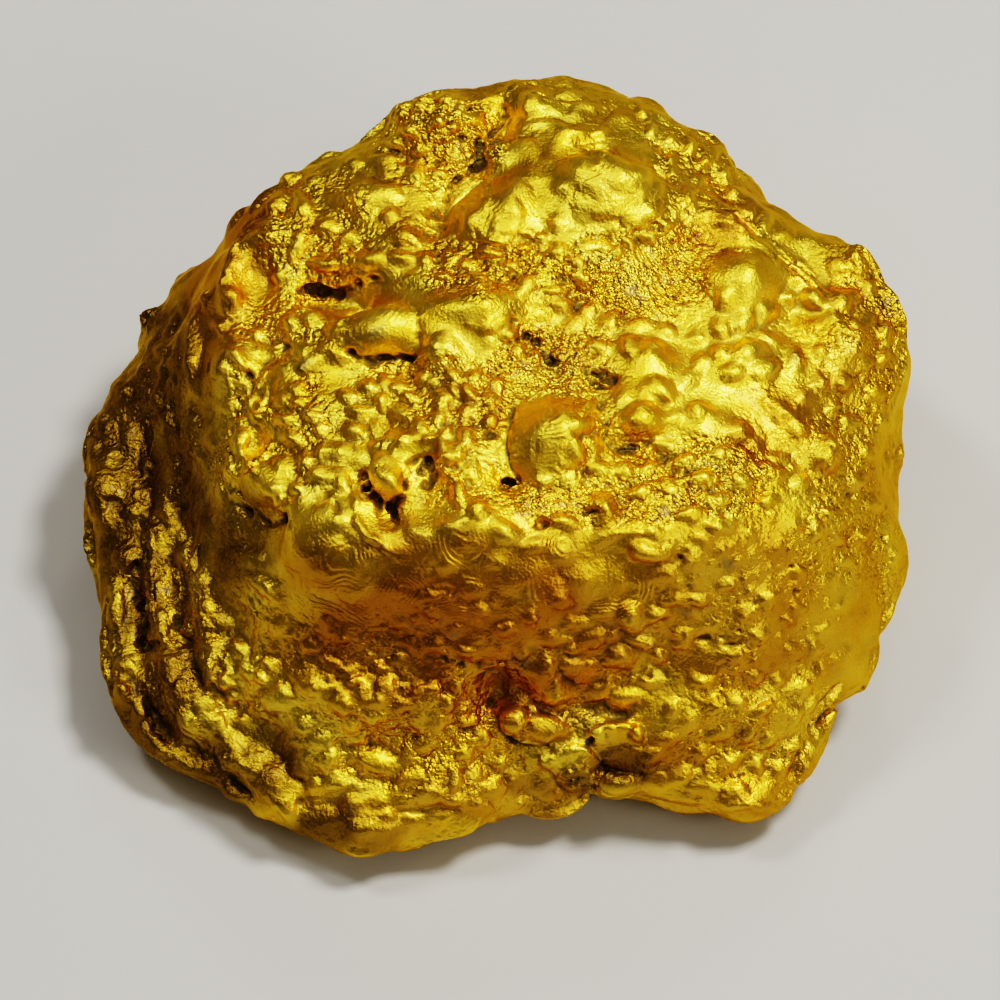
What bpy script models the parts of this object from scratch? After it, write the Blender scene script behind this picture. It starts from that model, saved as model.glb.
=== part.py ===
"""A natural gold nugget, modelled as the one solid piece that it is.

The body is a closed loft through five hand-drawn contours, from the worn underside to the
crown. Lumps, ridges, creases, pits and dishes are then raised and sunk on it one by one.
Sizes are in millimetres until the finished mesh is scaled to metres. +Z is up, +X is the
nugget's long side and -Y is its steep front.
"""

import math

import bmesh
import bpy
import numpy as np
from mathutils import Vector, noise
from mathutils.bvhtree import BVHTree

MM = 0.001

# Contours of the body: (radius, height) every 15 degrees, anticlockwise from +X.
FOOT = (
    (25.2, 7.5), (26.2, 8.0), (27.4, 9.0), (26.0, 9.0), (25.8, 9.0), (25.6, 9.0),
    (25.2, 9.0), (24.8, 9.0), (24.8, 8.5), (25.0, 8.0), (25.6, 7.5), (26.5, 7.0),
    (26.8, 6.0), (26.3, 4.5), (27.2, 3.5), (25.8, 3.0), (25.1, 2.8), (23.6, 2.5),
    (20.6, 3.0), (20.2, 3.0), (23.5, 2.5), (25.8, 3.0), (25.0, 5.0), (25.5, 7.0),
)
WAIST = (
    (24.2, 13.0), (25.4, 14.2), (26.7, 15.4), (24.4, 15.5), (24.9, 16.2), (25.3, 16.6),
    (25.0, 16.8), (24.2, 16.3), (23.2, 15.4), (23.4, 14.8), (22.8, 13.2), (22.4, 12.2),
    (21.2, 11.0), (20.2, 10.5), (20.6, 10.0), (20.4, 9.5), (20.0, 9.5), (19.0, 9.5),
    (17.4, 10.0), (17.4, 10.0), (19.4, 10.0), (21.2, 10.5), (22.8, 11.5), (23.6, 12.0),
)
SHOULDER = (
    (21.8, 17.0), (23.0, 17.8), (24.2, 19.0), (21.6, 19.2), (22.4, 20.2), (23.0, 21.0),
    (23.0, 21.2), (21.8, 20.5), (20.5, 19.0), (20.4, 18.0), (19.6, 17.4), (18.6, 16.4),
    (17.0, 16.4), (16.2, 16.8), (15.8, 17.4), (15.6, 18.0), (15.2, 18.4), (14.8, 18.6),
    (14.6, 18.6), (14.6, 18.6), (15.4, 18.4), (17.2, 18.0), (19.2, 17.4), (20.8, 17.0),
)
CROWN = (
    (14.0, 20.6), (14.0, 20.8), (14.0, 21.4), (13.5, 22.2), (13.5, 23.0), (14.0, 23.2),
    (14.0, 22.6), (13.0, 22.0), (12.0, 21.2), (12.0, 20.2), (12.0, 19.6), (12.0, 19.4),
    (11.0, 19.6), (10.5, 20.0), (10.0, 20.4), (9.5, 20.8), (9.0, 21.0), (9.0, 21.2),
    (9.0, 21.2), (9.0, 21.2), (9.5, 21.0), (10.5, 20.8), (12.0, 20.6), (13.0, 20.6),
)
APEX_HEIGHT = 22.0
# The underside: a ring inside the foot, then a slight hollow in the middle.
UNDERSIDE_SHARE = 0.74
UNDERSIDE_HEIGHT = 0.9
HOLLOW_HEIGHT = 1.4
# Latitudes on the starting ball at which the contours lie, south pole to north pole.
LATITUDES = (-90.0, -50.0, -16.0, 10.0, 37.0, 62.0, 90.0)

# The forms of the top and front are drawn on a plane that leans back, as (right, up) from
# its middle, and dropped on the body along lines that meet at one point above the front.
LEAN = math.radians(55.0)
DRAWING_MIDDLE = Vector((0.0, -2.5, 11.0))
SIGHT_LENGTH = 350.0

BALL_CUTS = 60
TRIANGLES = 9400
SEED = 27


def around(ring, bearing):
    """Radius and height of a contour at these bearings, as a smooth closed curve."""
    values = np.array(ring)
    place = bearing / (2 * math.pi) * len(values)
    start = np.floor(place).astype(int)
    share = (place - start)[:, None]
    before, here, there, after = (values[(start + k) % len(values)] for k in (-1, 0, 1, 2))
    return 0.5 * (
        2 * here
        + (there - before) * share
        + (2 * before - 5 * here + 4 * there - after) * share**2
        + (3 * here - before - 3 * there + after) * share**3
    )


def loft(directions):
    """Points of the body for unit directions of the starting ball."""
    bearing = np.arctan2(directions[:, 1], directions[:, 0]) % (2 * math.pi)
    latitude = np.degrees(np.arcsin(np.clip(directions[:, 2], -1, 1)))
    foot = around(FOOT, bearing)
    underside = np.column_stack(
        (foot[:, 0] * UNDERSIDE_SHARE, np.full(len(foot), UNDERSIDE_HEIGHT))
    )
    bottom = np.tile((0.0, HOLLOW_HEIGHT), (len(foot), 1))
    top = np.tile((0.0, APEX_HEIGHT), (len(foot), 1))
    crown = around(CROWN, bearing)
    opposite_crown = around(CROWN, (bearing + math.pi) % (2 * math.pi)) * (-1, 1)
    opposite_underside = underside * (-1, 1)
    rings = (bottom, underside, foot, around(WAIST, bearing), around(SHOULDER, bearing), crown, top)
    knots = np.array(LATITUDES)
    span = np.clip(np.searchsorted(knots, latitude, side="right") - 1, 0, len(knots) - 2)
    stack = np.stack((opposite_underside, *rings, opposite_crown))
    ends = (2 * knots[0] - knots[1], *knots, 2 * knots[-1] - knots[-2])
    level = np.array(ends)
    rows = np.arange(len(foot))
    p0, p1, p2, p3 = (stack[span + k, rows] for k in range(4))
    l0, l1, l2, l3 = (level[span + k][:, None] for k in range(4))
    step = l2 - l1
    share = (latitude[:, None] - l1) / step
    leave = (p2 - p0) / (l2 - l0) * step
    arrive = (p3 - p1) / (l3 - l1) * step
    profile = (
        (2 * share**3 - 3 * share**2 + 1) * p1
        + (share**3 - 2 * share**2 + share) * leave
        + (3 * share**2 - 2 * share**3) * p2
        + (share**3 - share**2) * arrive
    )
    return np.column_stack(
        (profile[:, 0] * np.cos(bearing), profile[:, 0] * np.sin(bearing), profile[:, 1])
    )


# Round forms of the top and front: name, right, up, half width, half length, turn, height.
LUMPS = (
    ("great dome", 7.0, 19.4, 4.4, 4.2, 0, 2.1),
    ("slope under the dome", 4.6, 15.2, 3.2, 2.6, 20, 0.8),
    ("top left lobe", -4.2, 23.2, 3.8, 2.4, -10, 1.5),
    ("long slope right of the crease", 0.4, 18.2, 2.6, 4.2, -30, 1.3),
    ("knob on the back rim", -0.2, 21.6, 1.7, 1.3, 0, 0.8),
    ("back rim", 3.2, 24.6, 3.2, 1.6, 5, 0.6),
    ("bright lump", 15.6, 13.2, 3.3, 2.4, -35, 1.6),
    ("knob right of the crown", 18.9, 10.8, 1.0, 1.0, 0, 0.6),
    ("knob below the bright lump", 16.7, 10.3, 1.0, 0.9, 0, 0.5),
    ("upright knob", 18.3, 8.9, 0.8, 1.4, 10, 0.5),
    ("knoll", 15.7, 8.3, 1.6, 1.3, 0, 0.6),
    ("outer shoulder lump", 22.4, 15.0, 2.2, 1.6, -30, 1.1),
    ("outer shoulder bead", 21.6, 12.8, 1.3, 1.2, 0, 0.6),
    ("right rim swell", 24.4, 12.4, 2.0, 2.2, -20, 0.9),
    ("back rim swell", 9.6, 24.6, 2.2, 1.6, -20, 0.9),
    ("right rim bead", 24.0, 10.3, 1.0, 2.0, 5, 0.6),
    ("right flank bead", 21.6, 7.5, 1.2, 1.0, 0, 0.6),
    ("right flank knob", 23.6, 6.6, 1.2, 1.1, 0, 0.6),
    ("right flank bean", 20.3, 2.8, 1.0, 1.6, 15, 0.6),
    ("right flank nodule", 22.6, -1.9, 1.3, 1.2, 0, 0.5),
    ("inner nodule", 21.0, -1.4, 1.1, 1.0, 0, 0.5),
    ("smooth boss", 9.3, 9.0, 1.7, 1.4, 0, 0.8),
    ("round boss", 9.9, 6.9, 1.5, 1.3, 0, 0.9),
    ("side boss", 11.5, 7.7, 1.1, 1.0, 0, 0.5),
    ("bean", 8.9, 4.9, 2.1, 1.1, 12, 1.0),
    ("wrinkled boss", 3.6, 4.0, 3.3, 2.8, 25, 1.7),
    ("boss by the finger", -3.8, 9.2, 2.0, 1.8, 0, 1.1),
    ("boss under the back rim", -8.7, 18.4, 1.9, 2.1, 20, 1.1),
    ("smooth knob", -5.9, 16.4, 1.2, 1.3, 0, 0.8),
    ("lump over the gash", -9.0, 14.6, 1.9, 1.2, 15, 0.9),
    ("lump under the gash", -12.4, 10.9, 2.0, 1.5, 10, 0.9),
    ("terrace lump", -13.4, 7.4, 1.9, 1.7, 0, 0.7),
    ("upper slope lump", -6.2, 19.6, 1.5, 1.1, 0, 0.6),
    ("left shoulder swell", -14.6, 18.4, 1.6, 1.1, 35, 0.5),
    ("crumbly ridge lump", 7.6, 13.4, 2.4, 1.2, -10, 0.6),
    ("crown lump", 10.4, 16.6, 2.2, 1.4, -20, 0.6),
    ("right crown lump", 12.2, 10.8, 1.6, 1.1, 0, 0.5),
    ("lower crown lump", 12.6, 4.6, 1.9, 1.4, 0, 0.6),
    ("shoulder swell", -1.4, -1.6, 3.0, 1.8, 0, 0.6),
    ("paired bead", -0.8, 11.3, 1.1, 0.9, 0, 0.6),
    ("lower paired bead", -0.7, 10.2, 0.9, 0.8, 0, 0.5),
    ("leaning bean", -7.0, 1.4, 1.2, 2.0, -20, 1.1),
    ("left terrace", -16.6, 8.2, 2.4, 3.6, 12, 1.4),
    ("left knob", -14.0, 0.7, 1.1, 1.0, 0, 0.6),
    ("upper left shoulder", -12.2, 17.0, 2.6, 1.8, 30, 0.6),
    ("knob on the left rim", -19.8, 13.8, 1.1, 1.0, 0, 1.0),
    ("flange knob", -24.9, 0.8, 1.8, 3.4, 0, 1.0),
    ("rough flange lump", -23.3, -3.8, 1.6, 1.5, 0, 0.7),
    ("lower flange knob", -23.7, -12.0, 1.8, 2.4, 25, 0.8),
    ("nose", -7.8, -20.2, 2.6, 2.0, 0, 1.2),
    ("left of the nose", -13.4, -18.6, 2.4, 1.6, -20, 0.6),
    ("skirt boss", 0.9, -13.8, 1.1, 1.0, 0, 0.9),
    ("square lump", 4.8, -16.6, 1.8, 1.4, 0, 0.9),
    ("low lobe", 7.3, -17.8, 1.6, 1.0, -10, 0.8),
    ("shoulder boss", 9.3, -3.1, 1.6, 1.3, 0, 0.5),
    ("front face boss", 8.3, -7.4, 1.4, 1.2, 0, 0.5),
    ("front face swell", -3.0, -9.6, 3.4, 2.4, 0, 0.5),
    ("right front swell", 15.5, -9.5, 3.4, 3.0, 0, 0.6),
    ("tan lobe", 22.4, -10.8, 2.2, 2.4, 20, 1.3),
    ("right foot", 15.6, -18.6, 3.0, 1.8, 15, 0.9),
    ("front foot", 10.6, -18.2, 2.4, 1.5, -10, 0.5),
)

# Long raised forms: name, half width, height, points as (right, up).
RIDGES = (
    ("finger lobe", 1.6, 1.7, ((-9.4, 9.8), (-6.6, 10.5), (-3.4, 11.2), (0.0, 11.8))),
    ("crown ridge", 1.3, 1.1, ((12.0, 18.6), (15.0, 16.6), (18.6, 14.0), (20.8, 11.6), (21.4, 9.4))),
    ("right flank ridge", 0.9, 0.6, ((16.9, 5.8), (18.6, 4.6), (19.6, 3.6))),
    ("right lower ridge", 0.9, 0.5, ((15.2, 2.2), (16.8, 1.3), (18.4, 0.2))),
    ("terrace lip", 0.8, 0.7, ((-16.7, 12.0), (-16.6, 14.6), (-15.2, 16.6), (-13.4, 16.0))),
    ("lower crescent", 0.7, 0.6, ((-16.8, 4.0), (-16.3, 2.0), (-14.6, 1.4))),
    ("horseshoe", 0.6, 0.8, ((-5.9, 2.2), (-5.6, 3.6), (-4.4, 4.1), (-3.4, 3.3), (-3.4, 2.2))),
    ("bright shoulder ridge", 0.6, 0.5, ((-9.0, -0.4), (-8.2, -1.4), (-7.4, -2.4))),
    ("shoulder fold", 0.7, 0.5, ((6.0, -2.4), (8.0, -2.2), (9.8, -1.9))),
    ("flange rib", 0.7, 0.7, ((-21.6, -2.4), (-21.7, -5.4), (-21.2, -8.8))),
    ("outer flange rib", 0.8, 0.7, ((-24.0, -5.6), (-24.2, -8.4), (-23.6, -11.0))),
    ("inner flank rib", 0.8, 0.6, ((-18.8, -3.0), (-18.9, -6.4), (-18.2, -9.6))),
    ("long foot ridge", 1.0, 1.0, ((-19.9, -11.3), (-17.9, -13.9), (-16.8, -15.9), (-15.3, -17.7))),
    ("second foot ridge", 1.0, 0.8, ((-14.8, -11.8), (-12.6, -14.6), (-10.6, -16.6))),
    ("skirt tongue", 0.8, 0.7, ((1.0, -14.4), (2.6, -15.2), (4.2, -15.4))),
    ("serrated ledge", 0.7, 0.8, ((5.6, -14.4), (7.2, -14.1), (8.8, -14.5))),
    ("skirt ledge", 0.9, 0.6, ((-12.0, -11.6), (-8.0, -12.6), (-4.0, -12.2))),
    ("right skirt ledge", 0.9, 0.6, ((10.2, -13.6), (13.4, -13.2), (16.6, -13.8))),
)

# Narrow sunk forms: name, half width, depth, points as (right, up).
CREASES = (
    ("valley right of the ridge", 1.0, 0.7, ((12.8, 20.6), (16.0, 17.6), (19.4, 15.0), (22.2, 12.2))),
    ("crease left of the dome", 0.9, 1.6,
        ((0.3, 24.7), (-0.6, 23.1), (-1.8, 20.6), (-3.4, 19.1), (-4.4, 16.9))),
    ("halo over the dome", 0.9, 0.5, ((2.8, 19.2), (4.4, 21.9), (7.4, 22.8), (10.2, 21.2))),
    ("halo over the bright lump", 0.8, 0.5, ((13.0, 13.4), (14.2, 15.2), (16.4, 15.7))),
    ("dark gash", 0.9, 2.0, ((-12.1, 13.2), (-10.6, 13.2), (-8.9, 12.6))),
    ("gap under the finger", 0.7, 1.2, ((-7.6, 8.5), (-6.3, 8.3), (-5.0, 8.6))),
    ("crease across the crown", 0.7, 0.8, ((1.2, 11.1), (2.5, 10.1), (3.6, 8.3))),
    ("crease under the bean", 0.6, 0.7, ((6.6, 4.0), (8.2, 3.3), (9.8, 3.5))),
    ("terrace undercut", 0.8, 1.1, ((-16.9, 0.3), (-16.0, -0.8), (-13.8, -1.2))),
    ("flange groove", 0.9, 0.9, ((-22.6, 5.4), (-22.9, 1.0), (-22.4, -3.4), (-22.8, -8.0))),
    ("inner flank groove", 0.9, 0.8, ((-20.2, 1.0), (-20.2, -4.0), (-19.6, -8.6))),
    ("foot valley", 0.9, 1.0, ((-21.6, -13.6), (-19.4, -14.9), (-17.4, -15.9), (-16.1, -17.9))),
    ("second foot valley", 1.0, 0.9, ((-17.6, -11.4), (-15.4, -14.2), (-13.2, -16.6))),
    ("notch under the tan lobe", 0.8, 1.3, ((22.6, -13.0), (20.9, -12.9), (20.0, -14.2))),
    ("notch in the front foot", 0.8, 1.0, ((5.4, -19.4), (5.7, -18.2), (6.0, -17.2))),
    ("crack", 0.5, 0.8, ((-11.7, -0.5), (-11.2, 0.1), (-10.6, 0.6))),
)

# Sunk forms with a raised rim: name, right, up, half width, half length, turn, depth, rim.
DISHES = (
    ("left terrace dish", -15.0, 13.6, 1.8, 2.6, 10, 0.9, 0.3),
    ("terrace hollow", -14.5, 6.6, 1.3, 1.4, 0, 0.6, 0.2),
    ("crescent hollow", -15.4, 3.1, 1.5, 1.7, 0, 0.8, 0.3),
    ("bubble field", -5.5, 6.2, 3.4, 2.0, 0, 0.7, 0.0),
    ("horseshoe hollow", -4.4, 2.0, 0.9, 0.9, 0, 1.0, 0.0),
    ("hollow left of the bean", -8.6, 1.4, 0.8, 1.0, 0, 1.2, 0.0),
    ("hollow under the bean", -7.2, -1.0, 1.4, 1.2, 0, 1.3, 0.0),
    ("deep hollow", 0.8, 1.2, 1.2, 1.0, 0, 1.2, 0.2),
    ("porous hole", 6.4, 7.7, 1.2, 0.9, 0, 1.3, 0.2),
    ("black hole", 2.5, -1.4, 0.6, 0.5, 0, 1.0, 0.0),
    ("pit by the gash", -7.9, 13.7, 0.7, 0.6, 0, 0.8, 0.0),
    ("pitted patch", -3.2, 21.9, 1.4, 1.1, 0, 0.7, 0.0),
    ("skirt hollow", -0.3, -12.4, 1.2, 2.8, 0, 1.3, 0.0),
    ("right front hollow", 13.6, -5.0, 2.0, 1.4, 0, 0.5, 0.1),
    ("shoulder saddle", 18.0, -4.4, 2.0, 1.6, 20, 0.5, 0.0),
    ("flank hollow", 22.2, 4.6, 1.4, 1.4, 0, 0.6, 0.2),
    ("skirt dish", -16.6, -7.4, 2.2, 2.6, 20, 0.7, 0.2),
    ("front skirt dish", 13.0, -16.2, 1.8, 1.2, 0, 0.5, 0.0),
)

# Forms of the back: name, bearing, height, half width, half length, turn, raise.
BACK_FORMS = (
    ("back lobe", 82, 13.0, 5.0, 4.0, 10, 1.2),
    ("back left lobe", 118, 11.0, 4.0, 4.6, -15, 1.0),
    ("back right lobe", 52, 12.5, 3.6, 5.0, 20, 1.0),
    ("back dish", 100, 7.0, 3.6, 2.6, 0, -1.2),
    ("back groove", 66, 10.0, 1.6, 6.0, 25, -1.0),
    ("left back groove", 136, 9.5, 1.5, 5.0, -20, -0.9),
    ("left back knob", 150, 8.0, 2.6, 2.4, 0, 0.8),
    ("right back knob", 30, 8.0, 2.8, 2.4, 0, 0.8),
    ("right low dish", 12, 6.0, 2.6, 2.0, 0, -0.8),
)

# Worn feet, rubbed flat where the nugget rests: name, bearing, distance from the axis, radius.
FEET = (
    ("front left foot", 228, 16.5, 7.0),
    ("front right foot", 308, 16.0, 6.2),
    ("back foot", 96, 14.5, 7.6),
    ("left foot", 174, 17.5, 5.0),
)
FOOT_DEPTH = 1.5
FOOT_UNEVENNESS = 0.7
FOOT_UNEVEN_WAVE = 3.4
UNDERSIDE_REACH = 4.0

# Round forms sit in a shallow moat, and dishes have a lip: shares of the form's size.
MOAT_SHARE = 0.14
MOAT_PLACE = 1.1
MOAT_WIDTH = 0.22
LIP_PLACE = 1.05
LIP_WIDTH = 0.25
STEEP_SIDE = 0.8
# Lumpiness all over: wavelength and height of each size of swelling.
SWELLINGS = ((9.0, 0.8), (4.2, 0.65), (2.4, 0.35))
SCATTERED_LUMPS = 150
SCATTER_RADIUS = (0.9, 2.2)
SCATTER_RAISE = (-0.35, 0.55)


def normals_of(points, faces):
    """Unit vertex normals of a closed mesh of four-sided faces."""
    across = points[faces[:, 2]] - points[faces[:, 0]]
    along = points[faces[:, 3]] - points[faces[:, 1]]
    face_normals = np.cross(across, along)
    found = np.zeros_like(points)
    for corner in range(4):
        np.add.at(found, faces[:, corner], face_normals)
    return found / np.linalg.norm(found, axis=1)[:, None]


def ball():
    """Points and four-sided faces of a ball made from a finely cut cube."""
    shape = bmesh.new()
    bmesh.ops.create_cube(shape, size=2.0)
    bmesh.ops.subdivide_edges(shape, edges=shape.edges[:], cuts=BALL_CUTS, use_grid_fill=True)
    points = np.array([vertex.co[:] for vertex in shape.verts])
    faces = np.array([[vertex.index for vertex in face.verts] for face in shape.faces])
    shape.free()
    evened = np.tan(points * math.pi / 4)
    return evened / np.linalg.norm(evened, axis=1)[:, None], faces


class Body:
    """The lofted body, on which each form is placed and then raised or sunk."""

    def __init__(self):
        directions, self.faces = ball()
        self.points = loft(directions)
        self.normals = normals_of(self.points, self.faces)
        self.tree = BVHTree.FromPolygons(self.points.tolist(), self.faces.tolist())
        self.raised = np.zeros(len(self.points))

    def drop(self, right, up):
        """Place and normal on the body under a point of the leaning drawing plane."""
        toward_eye = Vector((0.0, -math.cos(LEAN), math.sin(LEAN)))
        up_plane = Vector((0.0, math.sin(LEAN), math.cos(LEAN)))
        eye = DRAWING_MIDDLE + toward_eye * SIGHT_LENGTH
        drawn = DRAWING_MIDDLE + Vector((right, 0.0, 0.0)) + up_plane * up
        sight = (drawn - eye).normalized()
        place, normal, _, _ = self.tree.ray_cast(eye, sight)
        if place is None:
            place, normal, _, _ = self.tree.find_nearest(drawn)
        return place, normal

    def from_side(self, bearing, height):
        """Place and normal on the flank at a bearing and a height."""
        turned = math.radians(bearing)
        outward = Vector((math.cos(turned), math.sin(turned), 0.0))
        start = outward * 100 + Vector((0.0, 0.0, height))
        place, normal, _, _ = self.tree.ray_cast(start, -outward)
        return place, normal

    def reach(self, place, normal, half_width, half_length, turn):
        """Distance of every point from a place, as a share of an oval's edge there."""
        sideways = Vector((1.0, 0.0, 0.0))
        if abs(normal.x) > STEEP_SIDE:
            sideways = Vector((0.0, 1.0, 0.0))
        level = (sideways - normal * sideways.dot(normal)).normalized()
        upward = normal.cross(level)
        angle = math.radians(turn)
        across = np.array(level * math.cos(angle) + upward * math.sin(angle))
        along = np.array(upward * math.cos(angle) - level * math.sin(angle))
        offset = self.points - np.array(place)
        depth = offset @ np.array(normal) / (half_width + half_length)
        return np.sqrt(
            (offset @ across / half_width) ** 2 + (offset @ along / half_length) ** 2 + depth**2
        )

    def lump(self, place, normal, half_width, half_length, turn, height):
        """A rounded swelling, or a hollow where the height is negative, in a shallow moat."""
        away = self.reach(place, normal, half_width, half_length, turn)
        crown = np.clip(1 - away**2, 0, None) ** 1.5
        moat = np.exp(-(((away - MOAT_PLACE) / MOAT_WIDTH) ** 2))
        self.raised += height * (crown - MOAT_SHARE * moat)

    def run(self, drawn, half_width, height):
        """A ridge, or a crease where the height is negative, through drawn points."""
        route = [np.array(self.drop(right, up)[0]) for right, up in drawn]
        nearest = np.full(len(self.points), np.inf)
        for start, end in zip(route, route[1:]):
            stretch = end - start
            share = np.clip((self.points - start) @ stretch / (stretch @ stretch), 0, 1)
            gap = np.linalg.norm(self.points - start - share[:, None] * stretch, axis=1)
            nearest = np.minimum(nearest, gap)
        self.raised += height * np.exp(-((nearest / half_width) ** 2))

    def dish(self, place, normal, half_width, half_length, turn, depth, rim):
        """A bowl with a raised lip."""
        away = self.reach(place, normal, half_width, half_length, turn)
        bowl = np.clip(1 - away**2, 0, None)
        lip = np.exp(-(((away - LIP_PLACE) / LIP_WIDTH) ** 2))
        self.raised += rim * lip - depth * bowl

    def swell(self):
        """Uneven lumpiness of several sizes over the whole body."""
        for number, (wavelength, height) in enumerate(SWELLINGS):
            shift = Vector((17.0 * number, 5.0, 11.0))
            for index, point in enumerate(self.points):
                where = Vector(point) / wavelength + shift
                self.raised[index] += height * noise.noise(where)

    def scatter(self):
        """Small lumps and hollows strewn where no form was drawn: back, flanks, underside."""
        chance = np.random.default_rng(SEED)
        for _ in range(SCATTERED_LUMPS):
            index = chance.integers(len(self.points))
            half_width, half_length = chance.uniform(*SCATTER_RADIUS, 2)
            turn = chance.uniform(0, 180)
            height = chance.uniform(*SCATTER_RAISE)
            normal = Vector(self.normals[index])
            if normal.dot(Vector((0.0, -math.cos(LEAN), math.sin(LEAN)))) > 0.25:
                continue
            self.lump(Vector(self.points[index]), normal, half_width, half_length, turn, height)

    def shaped(self):
        return self.points + self.normals * self.raised[:, None]


def stand_on_feet(points):
    """Lowers each worn foot through the plane of rest, where it is then cut flat."""
    under = points[:, 2] < UNDERSIDE_REACH
    uneven = np.array([noise.noise(Vector(point) / FOOT_UNEVEN_WAVE) for point in points])
    for _, bearing, distance, radius in FEET:
        turned = math.radians(bearing)
        centre = np.array((math.cos(turned), math.sin(turned))) * distance
        away = np.linalg.norm(points[:, :2] - centre, axis=1) / radius
        wear = FOOT_DEPTH + FOOT_UNEVENNESS * uneven
        points[:, 2] -= np.where(under, wear * np.clip(1 - away**2, 0, None), 0)
    return points


def cut_flat(shape):
    """Cuts away what hangs below the plane of rest and closes each cut with a flat face."""
    bmesh.ops.bisect_plane(
        shape,
        geom=shape.verts[:] + shape.edges[:] + shape.faces[:],
        dist=1e-9,
        plane_co=(0, 0, 0),
        plane_no=(0, 0, 1),
        clear_inner=True,
    )
    open_edges = [edge for edge in shape.edges if edge.is_boundary]
    bmesh.ops.holes_fill(shape, edges=open_edges)


def draw_forms(body):
    """Raises and sinks every named form, then the lumpiness between them."""
    for _, right, up, half_width, half_length, turn, height in LUMPS:
        body.lump(*body.drop(right, up), half_width, half_length, turn, height)
    for _, half_width, height, drawn in RIDGES:
        body.run(drawn, half_width, height)
    for _, half_width, depth, drawn in CREASES:
        body.run(drawn, half_width, -depth)
    for _, right, up, half_width, half_length, turn, depth, rim in DISHES:
        body.dish(*body.drop(right, up), half_width, half_length, turn, depth, rim)
    for _, bearing, height, half_width, half_length, turn, raise_by in BACK_FORMS:
        place, normal = body.from_side(bearing, height)
        body.lump(place, normal, half_width, half_length, turn, raise_by)
    body.scatter()
    body.swell()


def thinned(points, faces):
    """A mesh object of the surface with its triangles kept where the shape turns most."""
    mesh = bpy.data.meshes.new("nugget")
    mesh.from_pydata(points.tolist(), [], faces.tolist())
    nugget = bpy.data.objects.new("nugget", mesh)
    bpy.context.collection.objects.link(nugget)
    bpy.context.view_layer.objects.active = nugget
    thin = nugget.modifiers.new("thin", "DECIMATE")
    thin.ratio = TRIANGLES / (2 * len(faces))
    bpy.ops.object.modifier_apply(modifier=thin.name)
    return nugget


def settle(nugget):
    """Cuts the feet flat, centres the origin under the nugget and sets the real size."""
    shape = bmesh.new()
    shape.from_mesh(nugget.data)
    cut_flat(shape)
    bmesh.ops.triangulate(shape, faces=shape.faces[:])
    places = np.array([vertex.co[:] for vertex in shape.verts])
    middle = (places.min(axis=0) + places.max(axis=0)) / 2
    bmesh.ops.translate(shape, verts=shape.verts[:], vec=(-middle[0], -middle[1], 0))
    bmesh.ops.scale(shape, verts=shape.verts[:], vec=(MM, MM, MM))
    shape.to_mesh(nugget.data)
    shape.free()
    nugget.data.shade_smooth()


def native_gold():
    gold = bpy.data.materials.new("native gold")
    gold.use_nodes = True
    shader = gold.node_tree.nodes["Principled BSDF"]
    shader.inputs["Base Color"].default_value = (0.83, 0.55, 0.06, 1.0)
    shader.inputs["Metallic"].default_value = 1.0
    shader.inputs["Roughness"].default_value = 0.32
    return gold


def clear_scene():
    for old in bpy.data.objects[:]:
        bpy.data.objects.remove(old)


clear_scene()
body = Body()
draw_forms(body)
nugget = thinned(stand_on_feet(body.shaped()), body.faces)
settle(nugget)
nugget.data.materials.append(native_gold())
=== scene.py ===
import math

import bpy
import numpy as np
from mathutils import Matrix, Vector, noise


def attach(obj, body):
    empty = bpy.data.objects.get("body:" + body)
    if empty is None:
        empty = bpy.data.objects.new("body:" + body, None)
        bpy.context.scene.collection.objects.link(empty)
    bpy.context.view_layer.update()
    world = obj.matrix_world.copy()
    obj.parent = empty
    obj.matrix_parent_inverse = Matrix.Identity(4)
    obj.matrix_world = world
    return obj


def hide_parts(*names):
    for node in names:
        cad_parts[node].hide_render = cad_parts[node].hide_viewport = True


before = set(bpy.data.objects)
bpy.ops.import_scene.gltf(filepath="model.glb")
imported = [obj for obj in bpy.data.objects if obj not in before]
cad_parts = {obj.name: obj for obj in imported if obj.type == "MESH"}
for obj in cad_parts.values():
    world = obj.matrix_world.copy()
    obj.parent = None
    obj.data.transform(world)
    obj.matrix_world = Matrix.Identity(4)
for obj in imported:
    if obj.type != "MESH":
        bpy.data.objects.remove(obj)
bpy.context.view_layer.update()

# ---------------------------------------------------------------------------
# The viewpoint. The nugget is looked down on from above its steep front, and
# each form is placed by where it shows from here: x to the right and y down, in
# thousandths of the view. So the camera comes first.
MM = 0.001
VIEW_STEPS = 1000
LOOK_DOWN = math.radians(55.0)
LOOK_FROM = 350 * MM
VIEW_SPAN = 62.5 * MM
LOOK_AT = Vector((0.31, -4.40, 11.0)) * MM
SENSOR = 36.0

camera_data = bpy.data.cameras.new("camera")
camera_data.sensor_width = SENSOR
camera_data.lens = SENSOR * LOOK_FROM / VIEW_SPAN
camera_data.clip_start = 0.01
camera = bpy.data.objects.new("camera", camera_data)
bpy.context.scene.collection.objects.link(camera)
toward_camera = Vector((0.0, -math.cos(LOOK_DOWN), math.sin(LOOK_DOWN)))
camera.location = LOOK_AT + toward_camera * LOOK_FROM
camera.rotation_euler = (math.pi / 2 - LOOK_DOWN, 0.0, 0.0)
bpy.context.scene.camera = camera


def in_view(points):
    """Where points show in the view: steps to the right and down."""
    offset = points - np.array(camera.location)
    depth = -offset @ np.array(toward_camera)
    upward = np.array((0.0, math.sin(LOOK_DOWN), math.cos(LOOK_DOWN)))
    scale = VIEW_STEPS * LOOK_FROM / VIEW_SPAN / depth
    across = VIEW_STEPS / 2 + offset[:, 0] * scale
    down = VIEW_STEPS / 2 - offset @ upward * scale
    return across, down


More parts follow.
